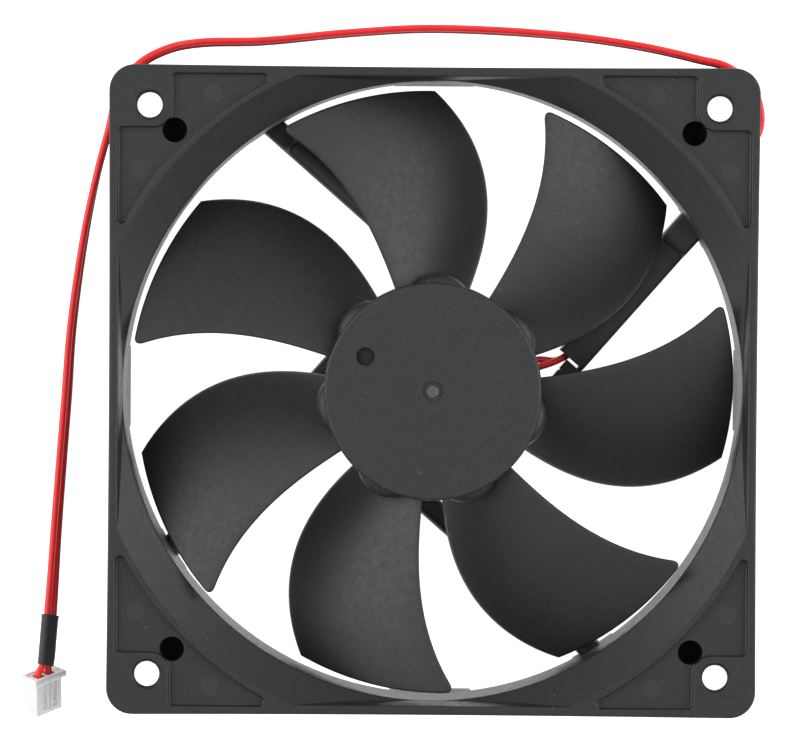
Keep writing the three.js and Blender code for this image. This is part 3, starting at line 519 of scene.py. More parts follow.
def make_materials():
    milky = dict(Subsurface_Weight=0.35, Subsurface_Scale=0.6 * MM)
    return {
        "housing": moulded_plastic("housing_plastic", 0.017, 0.45, relief=0.016),
        "impeller": moulded_plastic("impeller_plastic", 0.018, 0.5, grain=0.34, relief=0.02),
        "worn": moulded_plastic("worn_plastic", 0.02, 0.52, grain=0.2, relief=0.03),
        "button": moulded_plastic("gate_plastic", 0.07, 0.4, grain=0.45, relief=0.09),
        # Painted shade: a dull, rough material for the walls and floors of blind holes, standing in
        # for the shade deep inside them
        "hole": plain_part("hole_shadow", grey(0.022), grey(0.03), 0.8, specular=0.1),
        "red": wire_coat("wire_red", (0.95, 0.034, 0.036), (0.88, 0.028, 0.03)),
        "dark_red": wire_coat("wire_red_dark", (0.8, 0.026, 0.03), (0.72, 0.022, 0.026)),
        "black_side": wire_coat("wire_black_side", (0.02, 0.008, 0.01), (0.015, 0.006, 0.008)),
        "sleeve": plain_part(
            "sleeve_rubber", (0.03, 0.028, 0.029), (0.022, 0.021, 0.022), 0.55, 0.6, 0.02,
        ),
        "nylon": plain_part(
            "connector_nylon", (0.77, 0.77, 0.76), (0.74, 0.74, 0.73), 0.42, 0.8, **milky,
        ),
        "brass": metal("brass", (0.62, 0.44, 0.2), 0.3),
        "steel": metal("bearing_steel", (0.62, 0.63, 0.65), 0.25, stretch=(1, 1, 8)),
        "yoke": metal("yoke_steel", (0.5, 0.51, 0.53), 0.35, stretch=(1, 1, 6)),
        "balls": metal("ball_steel", (0.7, 0.7, 0.71), 0.15),
        "core": metal("core_steel", (0.36, 0.37, 0.39), 0.45, 0.25, stretch=(0.2, 0.2, 12)),
        "tin": metal("tinned_metal", (0.72, 0.72, 0.7), 0.28),
        "can": metal("can_aluminium", (0.68, 0.69, 0.71), 0.3),
        "copper": metal("winding_copper", (0.62, 0.27, 0.12), 0.32, 0.3),
        "magnet": plain_part(
            "magnet_ferrite", (0.035, 0.033, 0.032), (0.022, 0.021, 0.02), 0.6, 0.3,
        ),
        "insulator": plain_part(
            "insulator_nylon", (0.72, 0.72, 0.68), (0.62, 0.62, 0.58), 0.45, 0.6,
        ),
        "board": plain_part("board_laminate", (0.02, 0.1, 0.035), (0.03, 0.14, 0.05), 0.4, 0.25),
        "chip": plain_part("chip_black", (0.012, 0.012, 0.013), (0.02, 0.02, 0.021), 0.45, 0.2),
        "label": metal("label_foil", (0.6, 0.61, 0.62), 0.38, 0.5, stretch=(12, 0.4, 1)),
    }


# ---- Lead ----------------------------------------------------------------------------------


def wire_path(hand):
    """One wire's points: hand 1 is the red wire, -1 the other one."""
    points = []
    last = len(LEAD_ROUTE) - 1
    for index, (x, y, z, roll, spacing) in enumerate(LEAD_ROUTE):
        before, after = LEAD_ROUTE[max(0, index - 1)], LEAD_ROUTE[min(last, index + 1)]
        heading = Vector((after[0] - before[0], after[1] - before[1])).normalized()
        across = hand * spacing / 2 * math.cos(math.radians(roll))
        up = hand * spacing / 2 * math.sin(math.radians(roll))
        points.append(Vector((x + heading.y * across, y - heading.x * across, z + up)))
    return points


def catmull_rom(points, steps):
    """A smooth line through the points, with `steps` pieces to a span (centripetal)."""
    first, last = points[0] * 2 - points[1], points[-1] * 2 - points[-2]
    padded = [first, *points, last]
    line = []
    for i in range(len(points) - 1):
        a, b, c, d = padded[i:i + 4]
        t1 = math.sqrt((b - a).length)
        t2 = t1 + math.sqrt((c - b).length)
        t3 = t2 + math.sqrt((d - c).length)
        for step in range(steps):
            t = t1 + (t2 - t1) * step / steps
            a1 = a * ((t1 - t) / t1) + b * (t / t1)
            a2 = b * ((t2 - t) / (t2 - t1)) + c * ((t - t1) / (t2 - t1))
            a3 = c * ((t3 - t) / (t3 - t2)) + d * ((t - t2) / (t3 - t2))
            b1 = a1 * ((t2 - t) / t2) + a2 * (t / t2)
            b2 = a2 * ((t3 - t) / (t3 - t1)) + a3 * ((t - t1) / (t3 - t1))
            line.append(b1 * ((t2 - t) / (t2 - t1)) + b2 * ((t - t1) / (t2 - t1)))
    line.append(points[-1].copy())
    return line


def tube(name, line, radius, sides):
    """A round tube on a line, its first side held level; flat ends."""
    rows = []
    for index, point in enumerate(line):
        ahead = line[min(index + 1, len(line) - 1)] - line[max(index - 1, 0)]
        ahead.normalize()
        across = ahead.cross(Vector((0, 0, 1))).normalized()
        over = across.cross(ahead)
        ring = []
        for side in range(sides):
            angle = TURN * side / sides
            ring.append(tuple(point + (across * math.cos(angle) + over * math.sin(angle)) * radius))
        rows.append(ring)
    return grid_piece(name, rows, wrap_rows=False, caps=True)


def make_wires():
    """Both wires, the red one first, each with its centre line."""
    wires = []
    for hand, name, slot in ((1, "red_wire", "wire_red"), (-1, "black_wire", "wire_dark")):
        line = catmull_rom(wire_path(hand), STEPS_PER_SPAN)
        wire = tube(f"{name}_insulation", line, WIRE_RADIUS, WIRE_SIDES)
        shade(wire, 60)
        settle(wire, "housing", [name])
        wires.append((wire, line))
    return wires


def paint_second_wire(wire, finishes):
    """The second wire is painted a darker red than the first, and black along the side that faces
    the fan.
    """
    paint(wire, finishes["dark_red"], finishes["black_side"])
    for index, face in enumerate(wire.data.polygons):
        if len(face.vertices) == 4:
            middle = (index % WIRE_SIDES + 0.5) * 360 / WIRE_SIDES
            face.material_index = int(BLACK_SIDE_FROM < middle < BLACK_SIDE_TO)


def lead_frame(wires, low, high):
    """The pair of wires where y is in a range: each row is the middle, the unit vector across
    to the red wire, the one square to both wires, and half their spacing."""
    red, other = wires[0][1], wires[1][1]
    rows = []
    for a, b, a_next, b_next in zip(red, other, red[1:], other[1:]):
        middle = (a + b) / 2
        if low <= middle.y <= high and middle.x < 0:
            along = ((a_next + b_next) / 2 - middle).normalized()
            across = (a - b) - along * (a - b).dot(along)
            half = across.length / 2
            across.normalize()
            rows.append((middle, across, across.cross(along), half))
    return rows


def hug(middle, across, normal, half, radius, sides=16):
    """A loop round both wires: two half circles joined by straight runs."""
    loop = []
    for end, start in ((1, -TURN / 4), (-1, TURN / 4)):
        for step in range(sides + 1):
            angle = start + step * math.pi / sides
            sideways = across * (end * half + radius * math.cos(angle))
            loop.append(tuple(middle + (sideways + normal * radius * math.sin(angle))))
    return loop


def make_sleeve(wires, finishes):
    """The shrunk sleeve hugs both wires, with slightly open ends and an uneven skin."""
    rows = lead_frame(wires, SLEEVE_FROM_Y - SLEEVE_LENGTH - 0.1, SLEEVE_FROM_Y)
    draw = random.Random(5)
    outer, inner = [], []
    last = len(rows) - 1
    for index, (middle, across, normal, half) in enumerate(rows):
        flare = SLEEVE_END_FLARE if index in (0, last) else 0.0
        wobble = draw.uniform(-SLEEVE_UNEVENNESS, SLEEVE_UNEVENNESS)
        reach = WIRE_RADIUS + SLEEVE_WALL + wobble + flare
        outer.append(hug(middle, across, normal, half, reach))
        inner.append(hug(middle, across, normal, half, WIRE_RADIUS + 0.02 + flare / 2))
    sleeve = grid_piece("sleeve_tube", outer + inner[::-1])
    shade(sleeve, 60)
    settle(sleeve, "housing", ["heat_shrink_sleeve"], finishes["sleeve"])
    return sleeve


def on_lead(x, y, z):
    """Turns the connector's own frame, which runs along -Y from the wires' entry, into place."""
    roll, tilt = math.radians(CONNECTOR_ROLL), math.radians(CONNECTOR_TILT)
    x, z = x * math.cos(roll) + z * math.sin(roll), -x * math.sin(roll) + z * math.cos(roll)
    y, z = y * math.cos(tilt) - z * math.sin(tilt), y * math.sin(tilt) + z * math.cos(tilt)
    return (x + ENTRY[0], y + ENTRY[1], z + ENTRY[2])


def bevel(piece, width, segments=3):
    modifier = piece.modifiers.new("bevel", "BEVEL")
    modifier.width = width * MM
    modifier.segments = segments
    modifier.limit_method = "ANGLE"
    modifier.angle_limit = math.radians(50)
    return apply_modifiers(piece)


def make_connector(finishes):
    """The white socket housing: body, entry lip, wire cavities, grooves and latch windows."""
    width, height, length = CONNECTOR_HALF_WIDTH, CONNECTOR_HALF_HEIGHT, CONNECTOR_LENGTH
    body = box_between("connector_shell", (-width, -length, -height), (width, -0.5, height))
    bevel(body, 0.28)
    width, height = LIP_HALF_WIDTH, LIP_HALF_HEIGHT
    lip = box_between("lip", (-width, -LIP_LENGTH, -height), (width, 0, height))
    combine(body, [bevel(lip, 0.4)], "UNION")
    groove_end = -LIP_LENGTH - 0.2
    tray = box_between("tray", (-3.3, -0.35, -1.55), (3.3, 1, 1.55))
    cuts = [bevel(tray, 0.3)]
    for hand in (-1, 1):
        x = hand * TERMINAL_PITCH / 2
        cavity = box_between("cavity", (x - 0.95, -length - 1, -1), (x + 0.95, 1, 1))
        groove = box_between("groove", (x - 0.62, -6.7, 1.45), (x + 0.62, groove_end, 3))
        window = box_between("window", (x - 0.45, -5.6, 1.3), (x + 0.45, -3.4, 3))
        cuts += [bevel(cavity, 0.2), bevel(groove, 0.12), bevel(window, 0.1)]
    cuts.append(box_between("slit", (-0.28, -7.0, 1.55), (0.28, groove_end, 3)))
    combine(body, cuts, "DIFFERENCE")
    moved(body, on_lead)
    shade(body, 40)
    settle(body, "housing", ["connector_housing"], finishes["nylon"])
    return body


# ---- Frame ---------------------------------------------------------------------------------


def outline_radius(c, s):
    """Distance to the rounded square along a ray, folded so that c >= s >= 0."""
    straight = SIDE / 2 - CORNER_RADIUS
    reach = SIDE / 2
    if reach * s / c > straight:
        middle = straight * (c + s)
        return middle + math.sqrt(middle ** 2 - 2 * straight ** 2 + CORNER_RADIUS ** 2)
    bow = SIDE_BOW * (1 - (reach * s / c / straight) ** 2)
    return (reach - bow) / c


def arc(x, y, radius, start, end, steps):
    """Points on an arc from one angle to another."""
    angles = [start + (end - start) * step / steps for step in range(steps + 1)]
    return [(x + radius * math.cos(angle), y + radius * math.sin(angle)) for angle in angles]


def pocket_outline():
    """The first quarter's pocket, drawn from its tip along the top to its tip on the right."""
    quarter = TURN / 4
    tip, wall = POCKET_TIP_RADIUS, POCKET_HALF_WIDTH
    across = wall - tip
    along = math.sqrt((POCKET_INNER_RADIUS + tip) ** 2 - across ** 2)
    lean = math.atan2(along, across)
    fillet, boss, bend = POCKET_FILLET, BOSS_EDGE, BOSS_FILLET
    outline = arc(along, across, tip, quarter * 3 - lean, quarter, 12)
    outline += arc(boss - fillet, wall - fillet, fillet, quarter, 0, 8)
    outline += arc(boss + bend, boss + bend, bend, quarter * 2, quarter * 3, 12)
    outline += arc(wall - fillet, boss - fillet, fillet, quarter, 0, 8)
    outline += arc(across, along, tip, 0, lean - quarter * 2, 12)
    inner = arc(0, 0, POCKET_INNER_RADIUS, lean, quarter - lean, 60)
    return outline + inner[1:-1]


def offset_outline(outline, distance):
    """Moves a closed clockwise outline outwards by a distance."""
    moved_points = []
    for index, (x, y) in enumerate(outline):
        before, after = outline[index - 1], outline[(index + 1) % len(outline)]
        run = Vector((after[0] - before[0], after[1] - before[1])).normalized()
        moved_points.append((x - run.y * distance, y + run.x * distance))
    return moved_points


def pocket_cut(quarter):
    """A corner pocket's cutter: filleted floor, upright walls and an eased top edge."""
    outline = pocket_outline()
    fillet, ease = POCKET_FLOOR_FILLET, POCKET_EDGE
    turns = [math.radians(22.5 * step) for step in range(5)]
    levels = []
    for turn in turns:
        z = POCKET_FLOOR + fillet * (1 - math.cos(turn))
        levels.append((-fillet * (1 - math.sin(turn)), z))
    for turn in turns:
        levels.append((ease * (1 - math.cos(turn)), DEPTH - ease + ease * math.sin(turn)))
    levels.append((ease, DEPTH + 1))
    rows = []
    for distance, z in levels:
        loop = [(x, y, z) for x, y in offset_outline(outline, distance)]
        rows.append(spin_points(loop, 90 * quarter))
    return grid_piece("pocket", rows, wrap_rows=False, caps=True)


def strut_axes(index):
    """Unit vectors along a strut and from the fan's axis towards its centre line."""
    heading = math.radians(STRUT_HEADING + 180 - 90 * index)
    return (math.cos(heading), math.sin(heading)), (math.sin(heading), -math.cos(heading))


def on_strut(index):
    """Turns a place along, beside and above a strut's path into the fan's own axes."""
    along, out = strut_axes(index)
    return lambda t, offset, z: (t * along[0] + offset * out[0], t * along[1] + offset * out[1], z)


def at_strut_root(x, y):
    """Whether a place on the duct's wall lies behind the end of a strut."""
    for index in range(STRUT_COUNT):
        along, out = strut_axes(index)
        offset = x * out[0] + y * out[1]
        if abs(offset - STRUT_OFFSET) < ROOT_PAD_WIDTH / 2 and x * along[0] + y * along[1] > 0:
            return True
    return False


def frame_section(angle):
    """The duct wall and flanges cut through at one angle, as a closed run of (radius, height).

    The flares are cones at the corners and drafted flats along the sides; the exit side is
    plainer at the struts' ends and where the back's flats cut into the throat."""
    cos, sin = math.cos(angle), math.sin(angle)
    c, s = max(abs(cos), abs(sin)), min(abs(cos), abs(sin))
    outline = outline_radius(c, s)
    throat = THROAT_RADIUS
    cone = (FLARE_RADIUS - throat) / FLARE_DEPTH
    draft = (FLARE_HALF_WIDTH - throat) / FLARE_DEPTH
    meet = min(FLARE_DEPTH - 0.05, max(0.05, throat * (1 / c - 1) / (cone - draft / c)))
    edge = min(FLARE_RADIUS, FLARE_HALF_WIDTH / c)
    bend = min(throat + cone * meet, edge)
    exit_edge, exit_bend, exit_meet, exit_start = edge, bend, meet, FLARE_DEPTH
    if at_strut_root(60 * cos, 60 * sin):
        exit_edge, exit_bend, exit_meet, exit_start = throat + 0.3, throat + 0.05, 3.0, 4.0
    exit_flat = EXIT_HALF_WIDTH / c
    if exit_flat < throat:
        exit_edge, exit_bend, exit_meet, exit_start = exit_flat + 0.1, exit_flat, 3.0, 7.0
    middle = (edge + outline) / 2
    corners = (
        (throat, exit_start), (throat, DEPTH - FLARE_DEPTH),
        (bend, DEPTH - FLARE_DEPTH + meet), (edge, DEPTH),
        (middle, DEPTH), (outline, DEPTH), (outline, DEPTH - FLANGE),
        (DUCT_OUTER_RADIUS, DEPTH - FLANGE), (DUCT_OUTER_RADIUS, FLANGE), (outline, FLANGE),
        (outline, 0), (exit_edge, 0), (exit_bend, FLARE_DEPTH - exit_meet),
    )
    roundings = (0.3, 0.3, 0.2, 0.3, 0.05, 0.35, 0.3, 0.5, 0.5, 0.3, 0.35, 0.25, 0.3)
    return eased(corners, roundings)


def make_shell():
    rows = []
    for step in range(FRAME_STEPS):
        angle = TURN * step / FRAME_STEPS
        section = frame_section(angle)
        rows.append([(r * math.cos(angle), r * math.sin(angle), z) for r, z in section])
    return grid_piece("frame_body", rows)


def plug(name, profile, segments, x=0.0, y=0.0):
    """A solid turned from (radius, height) pairs, closed flat at both ends."""
    rows = []
    for radius, z in profile:
        ring = []
        for step in range(segments):
            angle = TURN * step / segments
            ring.append((x + radius * math.cos(angle), y + radius * math.sin(angle), z))
        rows.append(ring)
    return grid_piece(name, rows, wrap_rows=False, caps=True)


def bar_section(near, far, height, rounding):
    corners = ((near, 0.0), (far, 0.0), (far, height), (near, height))
    return eased(corners, (0.2, 0.2, rounding, rounding), 6)


def strut_bar(index, near, far, start, end, height, rounding, with_root=True):
    """A bar with a rounded back that swells upwards, like a thumb, where it meets the duct."""
    place = on_strut(index)
    root_start = math.sqrt(THROAT_RADIUS ** 2 - far ** 2) - GUSSET_LENGTH
    stations = [start]
    if with_root:
        stations.append(start + 0.2)
        stations += [start + (root_start - start) * step / 12 for step in range(1, 13)]
        stations += [root_start + GUSSET_LENGTH * (step / 12) ** 2 for step in range(1, 13)]
    stations.append(end)
    rows = []
    for t in stations:
        lift = 0.0
        if with_root and t > root_start:
            left = max(0.0, 1 - (t - root_start) / GUSSET_LENGTH)
            lift = (GUSSET_HEIGHT - height) * math.sqrt(1 - left ** 2)
        section = bar_section(near, far, height + lift, rounding)
        rows.append([place(t, offset, z) for offset, z in section])
    return grid_piece("strut", rows, wrap_rows=False, caps=True)


def make_struts():
    """Three plain struts, and the one that carries the wires, which widens away from the base."""
    struts = []
    for index in range(STRUT_COUNT):
        if index == CHANNEL_STRUT:
            struts.append(strut_bar(
                index, NARROW_STRUT_NEAR, WIDE_STRUT_FAR, STRUT_START, WIDE_STRUT_START + 1,
                STRUT_HEIGHT, 0.6, with_root=False,
            ))
            struts.append(strut_bar(
                index, WIDE_STRUT_NEAR, WIDE_STRUT_FAR, WIDE_STRUT_START, STRUT_END,
                WIDE_STRUT_HEIGHT, 0.7,
            ))
        else:
            near = STRUT_OFFSET - STRUT_WIDTH / 2
            struts.append(strut_bar(
                index, near, near + STRUT_WIDTH, STRUT_START, STRUT_END, STRUT_HEIGHT, 1.8,
            ))
    return struts


BASE_PROFILE = (
    (BASE_RADIUS - 0.3, 0.0), (BASE_RADIUS, 0.3),
    (BASE_RADIUS, BASE_RIM_TOP - 0.25), (BASE_RADIUS - 0.25, BASE_RIM_TOP),
)


def channel_cuts():
    """The channel for the wires under their strut, its slot through the duct and its notches."""
    place = on_strut(CHANNEL_STRUT)
    spans = (
        (CHANNEL_START, CHANNEL_END, -1, CHANNEL_HEIGHT),
        (DUCT_SLOT_START, CHANNEL_END, -1.5, DUCT_SLOT_HEIGHT),
    )
    cuts = []
    for start, end, low, high in spans:
        channel = box_between("channel", (start, CHANNEL_NEAR, low), (end, CHANNEL_FAR, high))
        cuts.append(moved(channel, place))
    half = WIRE_NOTCH_WIDTH / 2
    for start, end, low in ((18, 22, BASE_FLOOR - 0.9), (19.3, 24.4, -1)):
        notch = box_between("notch", (start, -half, low), (end, half, BASE_RIM_TOP + 1))
        cuts.append(moved(notch, lambda x, y, z: spin_points([(x, y, z)], WIRE_NOTCH_HEADING)[0]))
    return [flip_if_inside_out(cut) for cut in cuts]


def corner_cuts(quarter):
    """The screw holes, blind hole and ejector marks of one corner."""
    cuts = []

    def at(x, y):
        return spin_points([(x, y, 0)], 90 * quarter)[0][:2]

    hole = at(HOLE_OFFSET, HOLE_OFFSET)
    r, chamfer = FRONT_HOLE_RADIUS, 0.55
    front = (
        (r + 0.5, 12), (r + 0.35, DEPTH - FLANGE),
        (r, DEPTH - chamfer - 0.25), (r + 0.06, DEPTH - chamfer),
        (r + 0.25, DEPTH - chamfer / 2), (r + chamfer, DEPTH), (r + chamfer + 0.2, DEPTH + 0.4),
    )
    cuts.append(plug("front_hole", front, 48, *hole))
    r = BACK_HOLE_RADIUS
    cuts.append(plug("back_hole", ((r + 0.6, -0.3), (r, 0.3), (r, 12)), 48, *hole))
    cuts.append(pocket_cut(quarter))
    core = at(CORE_HOLE_OFFSET, CORE_HOLE_OFFSET)
    profile = ((CORE_HOLE_RADIUS, CORE_HOLE_FLOOR), (CORE_HOLE_RADIUS, DEPTH + 1))
    cuts.append(plug("core_hole", profile, 48, *core))
    for place in EJECTOR_PLACES:
        profile = (
            (EJECTOR_RADIUS, POCKET_FLOOR - EJECTOR_DEPTH), (EJECTOR_RADIUS + 0.03, DEPTH + 1),
        )
        cuts.append(plug("mark", profile, 40, *at(*place)))
    return cuts


def finish_corners(body):
    """Gives the blind holes' walls and floors the dull hole material as painted shade, and the worn
    ejector marks their own finish.
    """
    for face in body.data.polygons:
        x, y, z = face.center / MM
        beside = math.hypot(abs(x) - CORE_HOLE_OFFSET, abs(y) - CORE_HOLE_OFFSET)
        deep = CORE_HOLE_FLOOR - 0.1 < z < POCKET_FLOOR - 0.3
        # Painted shade: the blind hole's walls and floor take the dull hole material.
        if beside < CORE_HOLE_RADIUS + 0.02 and deep:
            face.material_index = 1
        sunk = CORE_HOLE_FLOOR + 1 < z < POCKET_FLOOR and face.normal.z > 0.9
        for mark_x, mark_y in EJECTOR_PLACES:
            if sunk and math.hypot(abs(x) - mark_x, abs(y) - mark_y) < EJECTOR_RADIUS:
                face.material_index = 2


def make_frame(finishes):
    """The duct with its flanges, struts and motor base, cut and finished as one moulding."""
    body = make_shell()
    r = CORE_BOSS_RADIUS
    profile = ((r - 0.4, CORE_BOSS_LOW), (r, CORE_BOSS_LOW + 0.4), (r, 22))
    bosses = []
    for quarter in range(4):
        x, y = spin_points([(CORE_HOLE_OFFSET, CORE_HOLE_OFFSET, 0)], 90 * quarter)[0][:2]
        bosses.append(plug("core_boss", profile, 40, x, y))
    combine(body, [*make_struts(), *bosses, plug("base", BASE_PROFILE, 120)], "UNION")
    r = BASE_RIM_INNER
    cup = plug("cup", ((r - 0.3, BASE_FLOOR), (r, BASE_FLOOR + 0.3), (r, DEPTH)), 120)
    recess = ((LABEL_RECESS_RADIUS, -1), (LABEL_RECESS_RADIUS, LABEL_RECESS_DEPTH))
    combine(body, [cup, plug("recess", recess, 120)], "DIFFERENCE")
    r = TUBE_BOSS_RADIUS
    boss = (
        (r + 0.4, BASE_FLOOR - 0.5), (r + 0.4, BASE_FLOOR),
        (r, BASE_FLOOR + 0.4), (r, TUBE_BOSS_TOP),
    )
    combine(body, [plug("tube_boss", boss, 64)], "UNION")
    tube_hole = ((TUBE_HOLE_RADIUS, -1), (TUBE_HOLE_RADIUS, DEPTH))
    cuts = [plug("tube_hole", tube_hole, 64), *channel_cuts()]
    for quarter in range(4):
        cuts += corner_cuts(quarter)
    combine(body, cuts, "DIFFERENCE")
    shade(body, 36)
    settle(body, "housing", ["frame"])
    paint(body, finishes["housing"], finishes["hole"], finishes["worn"])
    finish_corners(body)


# ---- Impeller ------------------------------------------------------------------------------


def along_blade(radius, quantity):
    """A station's quantity at a radius, by the parabola through the three stations."""
    total = 0.0
    for station in BLADE_STATIONS:
        weight = 1.0
        for other in BLADE_STATIONS:
            if other is not station:
                weight *= (radius - other["radius"]) / (station["radius"] - other["radius"])
        total += weight * station[quantity]
    return total


def blade_loop(radius, trim, fade, columns=44):
    """The blade's section at a radius: over the upper skin and back along the lower one."""
    lead, trail = along_blade(radius, "lead"), along_blade(radius, "trail")
    high, low = along_blade(radius, "lead_height"), along_blade(radius, "trail_height")
    length = radius * math.radians(lead - trail)
    nose = BLADE_EDGE_THICKNESS / 2
    marks = []
    for step in range(5):
        turn = math.radians(18 * step)
        marks.append((nose * (1 - math.cos(turn)), math.sin(turn)))
    span = length - trim
    inner = [(nose + (span - 2 * nose) * step / columns, 1.0) for step in range(columns + 1)]
    places = marks + inner + [(span - distance, full) for distance, full in reversed(marks)]
    skins = {1: [], -1: []}
    for distance, full in places:
        chord = (trim + distance) / length
        angle = math.radians(lead + (trail - lead) * chord)
        bow = max(0.0, 4 * chord * (1 - chord))
        thickness = BLADE_EDGE_THICKNESS + (BLADE_THICKNESS - BLADE_EDGE_THICKNESS) * math.sqrt(bow)
        middle = high + (low - high) * chord + BLADE_CAMBER * bow
        for side, skin in skins.items():
            z = middle + side * full * fade * thickness / 2
            skin.append((radius * math.cos(angle), radius * math.sin(angle), z))
    return skins[1] + skins[-1][-2:0:-1]


def make_blade(turn_by):
    """A blade from under the hub's skin to a tip with a rounded leading corner."""
    shoulder = BLADE_STATIONS[-1]["radius"] - BLADE_TIP_CORNER
    start = BLADE_STATIONS[0]["radius"]
    rows = [(start + (shoulder - start) * step / 26, 0.0, 1.0) for step in range(27)]
    corner_steps = 12
    for step in range(1, corner_steps + 1):
        turn = math.radians(90 * step / corner_steps)
        radius = shoulder + BLADE_TIP_CORNER * math.sin(turn)
        into = max(0.0, radius - shoulder - BLADE_TIP_CORNER + BLADE_TIP_EDGE) / BLADE_TIP_EDGE
        fade = max(0.12, math.sqrt(max(0.0, 1 - into ** 2)))
        rows.append((radius, BLADE_TIP_CORNER * (1 - math.cos(turn)), fade))
    loops = [spin_points(blade_loop(*row), turn_by) for row in rows]
    return grid_piece("blade", loops, wrap_rows=False, caps=True)


def make_hub():
    """The hub cup's skin, with the sunk gate mark in the middle of its face."""
    rim = HUB_RIM
    profile = [
        (0.1, SOCKET_TOP), (HUB_SOCKET_RADIUS, SOCKET_TOP), (HUB_SOCKET_RADIUS, HUB_BOSS_LOW),
        (HUB_BOSS_RADIUS, HUB_BOSS_LOW), (HUB_BOSS_RADIUS, HUB_CEILING),
        (HUB_INNER_RADIUS, HUB_CEILING), (HUB_INNER_RADIUS, HUB_BOTTOM),
        (HUB_RADIUS - 0.2, HUB_BOTTOM), (HUB_RADIUS, HUB_BOTTOM + 0.2),
    ]
    for step in range(7):
        turn = math.radians(15 * step)
        z = HUB_TOP - rim + rim * math.sin(turn)
        profile.append((HUB_RADIUS - rim + rim * math.cos(turn), z))
    gate_floor = HUB_TOP - GATE_DEPTH
    profile += [
        (GATE_RADIUS + 0.25, HUB_TOP), (GATE_RADIUS + 0.05, HUB_TOP - 0.08),
        (GATE_RADIUS, gate_floor), (1.2, gate_floor),
        (1.05, gate_floor + 0.3), (0.6, gate_floor + 0.38), (0.1, gate_floor + 0.3),
    ]
    return plug("impeller_body", profile, 168)


def make_pad(turn_by):
    """One of the round bulges beside a blade's root, behind the hub's face."""
    heading = math.radians(PAD_HEADING + turn_by)
    edge = PAD_EDGE
    profile = [(PAD_RADIUS - 0.6, PAD_LOW), (PAD_RADIUS, PAD_LOW + 0.6)]
    for step in range(7):
        turn = math.radians(15 * step)
        z = PAD_HIGH - edge + edge * math.sin(turn)
        profile.append((PAD_RADIUS - edge + edge * math.cos(turn), z))
    x, y = PAD_DISTANCE * math.cos(heading), PAD_DISTANCE * math.sin(heading)
    return plug("pad", profile, 64, x, y)


def make_impeller(finishes):
    """Hub, pads and blades in one moulding, then the hub's inside and its small marks."""
    body = make_hub()
    additions = []
    for index in range(BLADE_COUNT):
        turn_by = 360 * index / BLADE_COUNT
        additions += [make_pad(turn_by), make_blade(turn_by)]
    inside = ((HUB_INNER_RADIUS, HUB_BOTTOM - 1), (HUB_INNER_RADIUS, HUB_CEILING))
    hollow = plug("hollow", inside, 168)
    spigot = ((HUB_BOSS_RADIUS, HUB_BOSS_LOW), (HUB_BOSS_RADIUS, HUB_CEILING + 0.3))
    boss = plug("boss", spigot, 64)
    bore = ((HUB_SOCKET_RADIUS, HUB_BOSS_LOW - 1), (HUB_SOCKET_RADIUS, SOCKET_TOP))
    socket = plug("socket", bore, 64)
    dimple = ((INDEX_RADIUS, HUB_TOP - INDEX_DEPTH), (INDEX_RADIUS, HUB_TOP + 1))
    index_hole = plug("index", dimple, 40, *INDEX_PLACE)
    low, high = HUB_TOP - 0.05, HUB_TOP + 1
    circle = (
        (PIN_MARK_INNER, low), (PIN_MARK_OUTER, low),
        (PIN_MARK_OUTER, high), (PIN_MARK_INNER, high),
    )
    ring = turned("ring", circle, 32, *PIN_MARK_PLACE)
    combine(body, additions, "UNION")
    combine(body, [hollow], "DIFFERENCE")
    combine(body, [boss], "UNION")
    combine(body, [socket, index_hole, ring], "DIFFERENCE")
    shade(body, 36)
    settle(body, "rotor", ["impeller"])
    paint(body, finishes["impeller"], finishes["hole"], finishes["button"])
    # The index dimple's walls take the dull hole material as painted shade; the gate button takes
    # its lighter rough plastic.
    for face in body.data.polygons:
        x, y, z = face.center / MM
        inside = math.hypot(x - INDEX_PLACE[0], y - INDEX_PLACE[1]) < INDEX_RADIUS + 0.02
        if inside and HUB_TOP - INDEX_DEPTH - 0.05 < z < HUB_TOP - 0.1:
            face.material_index = 1
        if math.hypot(x, y) < GATE_BUTTON_RADIUS and z > HUB_TOP - GATE_DEPTH + 0.01:
            face.material_index = 2


# ---- Motor and label -----------------------------------------------------------------------

CARRIED_FINISHES = {
    "bearing_tube": "brass", "shaft": "steel", "shaft_bushing": "brass",
    "retaining_clip": "steel", "preload_spring": "steel",
    "rotor_yoke": "yoke", "rotor_magnet": "magnet", "stator_core": "core",
    "upper_insulator": "insulator", "lower_insulator": "insulator", "circuit_board": "board",
    "hall_sensor": "chip", "capacitor": "can", "diode": "chip",
    "red_terminal": "tin", "black_terminal": "tin",
}


def finish_carried_nodes(finishes):
    """The motor's inner parts and the terminals keep their solids and get finishes."""
    for node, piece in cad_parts.items():
        key = CARRIED_FINISHES.get(node)
        if node.startswith("coil_winding"):
            key = "copper"
        elif node.startswith("winding_pin"):
            key = "tin"
        elif node.endswith("ball_set"):
            key = "balls"
        elif "bearing_" in node and key is None:
            key = "steel"
        if key:
            paint(piece, finishes[key])


def make_label(finishes):
    """A foil disc with a pressed rim line."""
    low, high = (corner[2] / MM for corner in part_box("rear_label"))
    r = LABEL_RADIUS
    profile = (
        (r - 0.1, high), (r, high - 0.06), (r, low + 0.06), (r - 0.1, low),
        (r - 0.9, low), (r - 1.0, low + 0.07), (r - 1.2, low + 0.07),
        (r - 1.3, low), (0.1, low),
    )
    label = plug("foil_label", profile, 120)
    shade(label, 30)
    settle(label, "housing", ["rear_label"], finishes["label"])


# ---- Studio --------------------------------------------------------------------------------


FLOOR_HALF_SIDE = 4.0  # metres
FLOOR_DROP = 0.0002  # metres, so that it doesn't share a plane with the fan's back
WORLD_COLOUR = (0.92, 0.94, 1.0, 1)
WORLD_STRENGTH = 0.43
SOFTBOXES = (
    # name, azimuth and elevation in degrees, power in watts
    ("right_softbox", 10, 38, 6.4),
    ("left_softbox", 170, 38, 6.6),
)
SOFTBOX_DISTANCE = 0.9
SOFTBOX_SIDE = 0.9


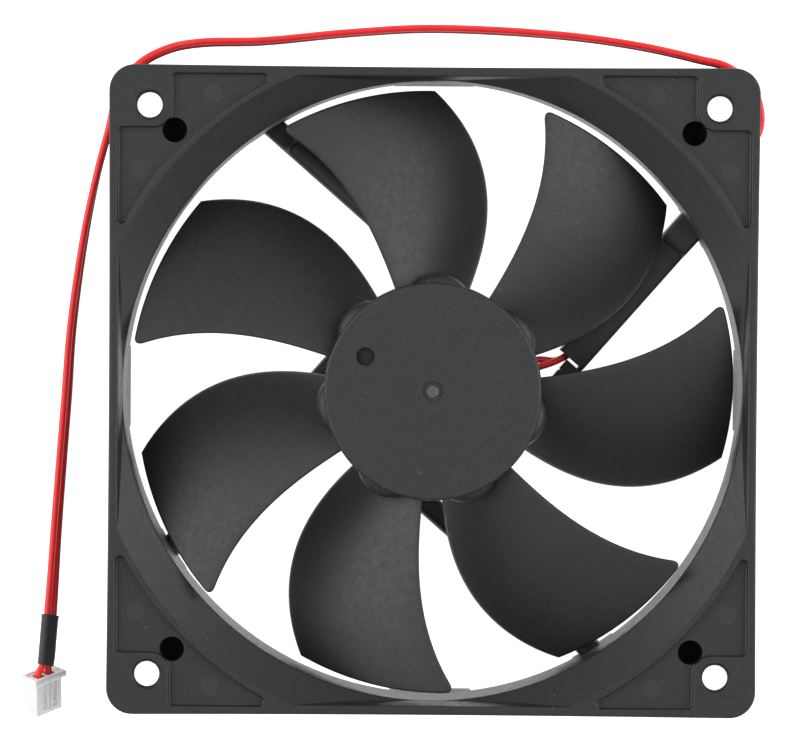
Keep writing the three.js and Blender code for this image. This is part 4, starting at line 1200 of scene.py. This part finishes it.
def make_floor():
    """A white light table: it is the pale background, and lights the duct from below."""
    half = FLOOR_HALF_SIDE
    mesh = bpy.data.meshes.new("floor")
    corners = [(-half, -half, 0), (half, -half, 0), (half, half, 0), (-half, half, 0)]
    mesh.from_pydata(corners, [], [(0, 1, 2, 3)])
    floor = add_object("floor", mesh)
    floor.location.z = -FLOOR_DROP
    finish = bpy.data.materials.new("floor_white")
    finish.use_nodes = True
    surface = finish.node_tree.nodes["Principled BSDF"]
    surface.inputs["Base Color"].default_value = (0.8, 0.8, 0.8, 1)
    surface.inputs["Roughness"].default_value = 0.9
    surface.inputs["Emission Color"].default_value = (1, 1, 1, 1)
    surface.inputs["Emission Strength"].default_value = 1.0
    mesh.materials.append(finish)


def add_softbox(name, azimuth, elevation, power):
    """A square lamp that faces the fan."""
    data = bpy.data.lights.new(name, "AREA")
    data.shape = "RECTANGLE"
    data.size = SOFTBOX_SIDE
    data.size_y = SOFTBOX_SIDE
    data.energy = power
    light = bpy.data.objects.new(name, data)
    a, e = math.radians(azimuth), math.radians(elevation)
    towards = Vector((math.cos(a) * math.cos(e), math.sin(a) * math.cos(e), math.sin(e)))
    light.location = towards * SOFTBOX_DISTANCE
    light.rotation_euler = light.location.to_track_quat("Z", "Y").to_euler()
    bpy.context.scene.collection.objects.link(light)


def make_studio():
    make_floor()
    world = bpy.context.scene.world or bpy.data.worlds.new("world")
    bpy.context.scene.world = world
    world.use_nodes = True
    background = world.node_tree.nodes["Background"]
    background.inputs["Color"].default_value = WORLD_COLOUR
    background.inputs["Strength"].default_value = WORLD_STRENGTH
    for softbox in SOFTBOXES:
        add_softbox(*softbox)
    bpy.context.scene.view_settings.view_transform = "Standard"


# ---- Scene ---------------------------------------------------------------------------------

make_camera()
finishes = make_materials()
wires = make_wires()
paint(wires[0][0], finishes["red"])
paint_second_wire(wires[1][0], finishes)
sleeve = make_sleeve(wires, finishes)
connector = make_connector(finishes)
make_frame(finishes)
make_impeller(finishes)
make_label(finishes)
finish_carried_nodes(finishes)
make_studio()
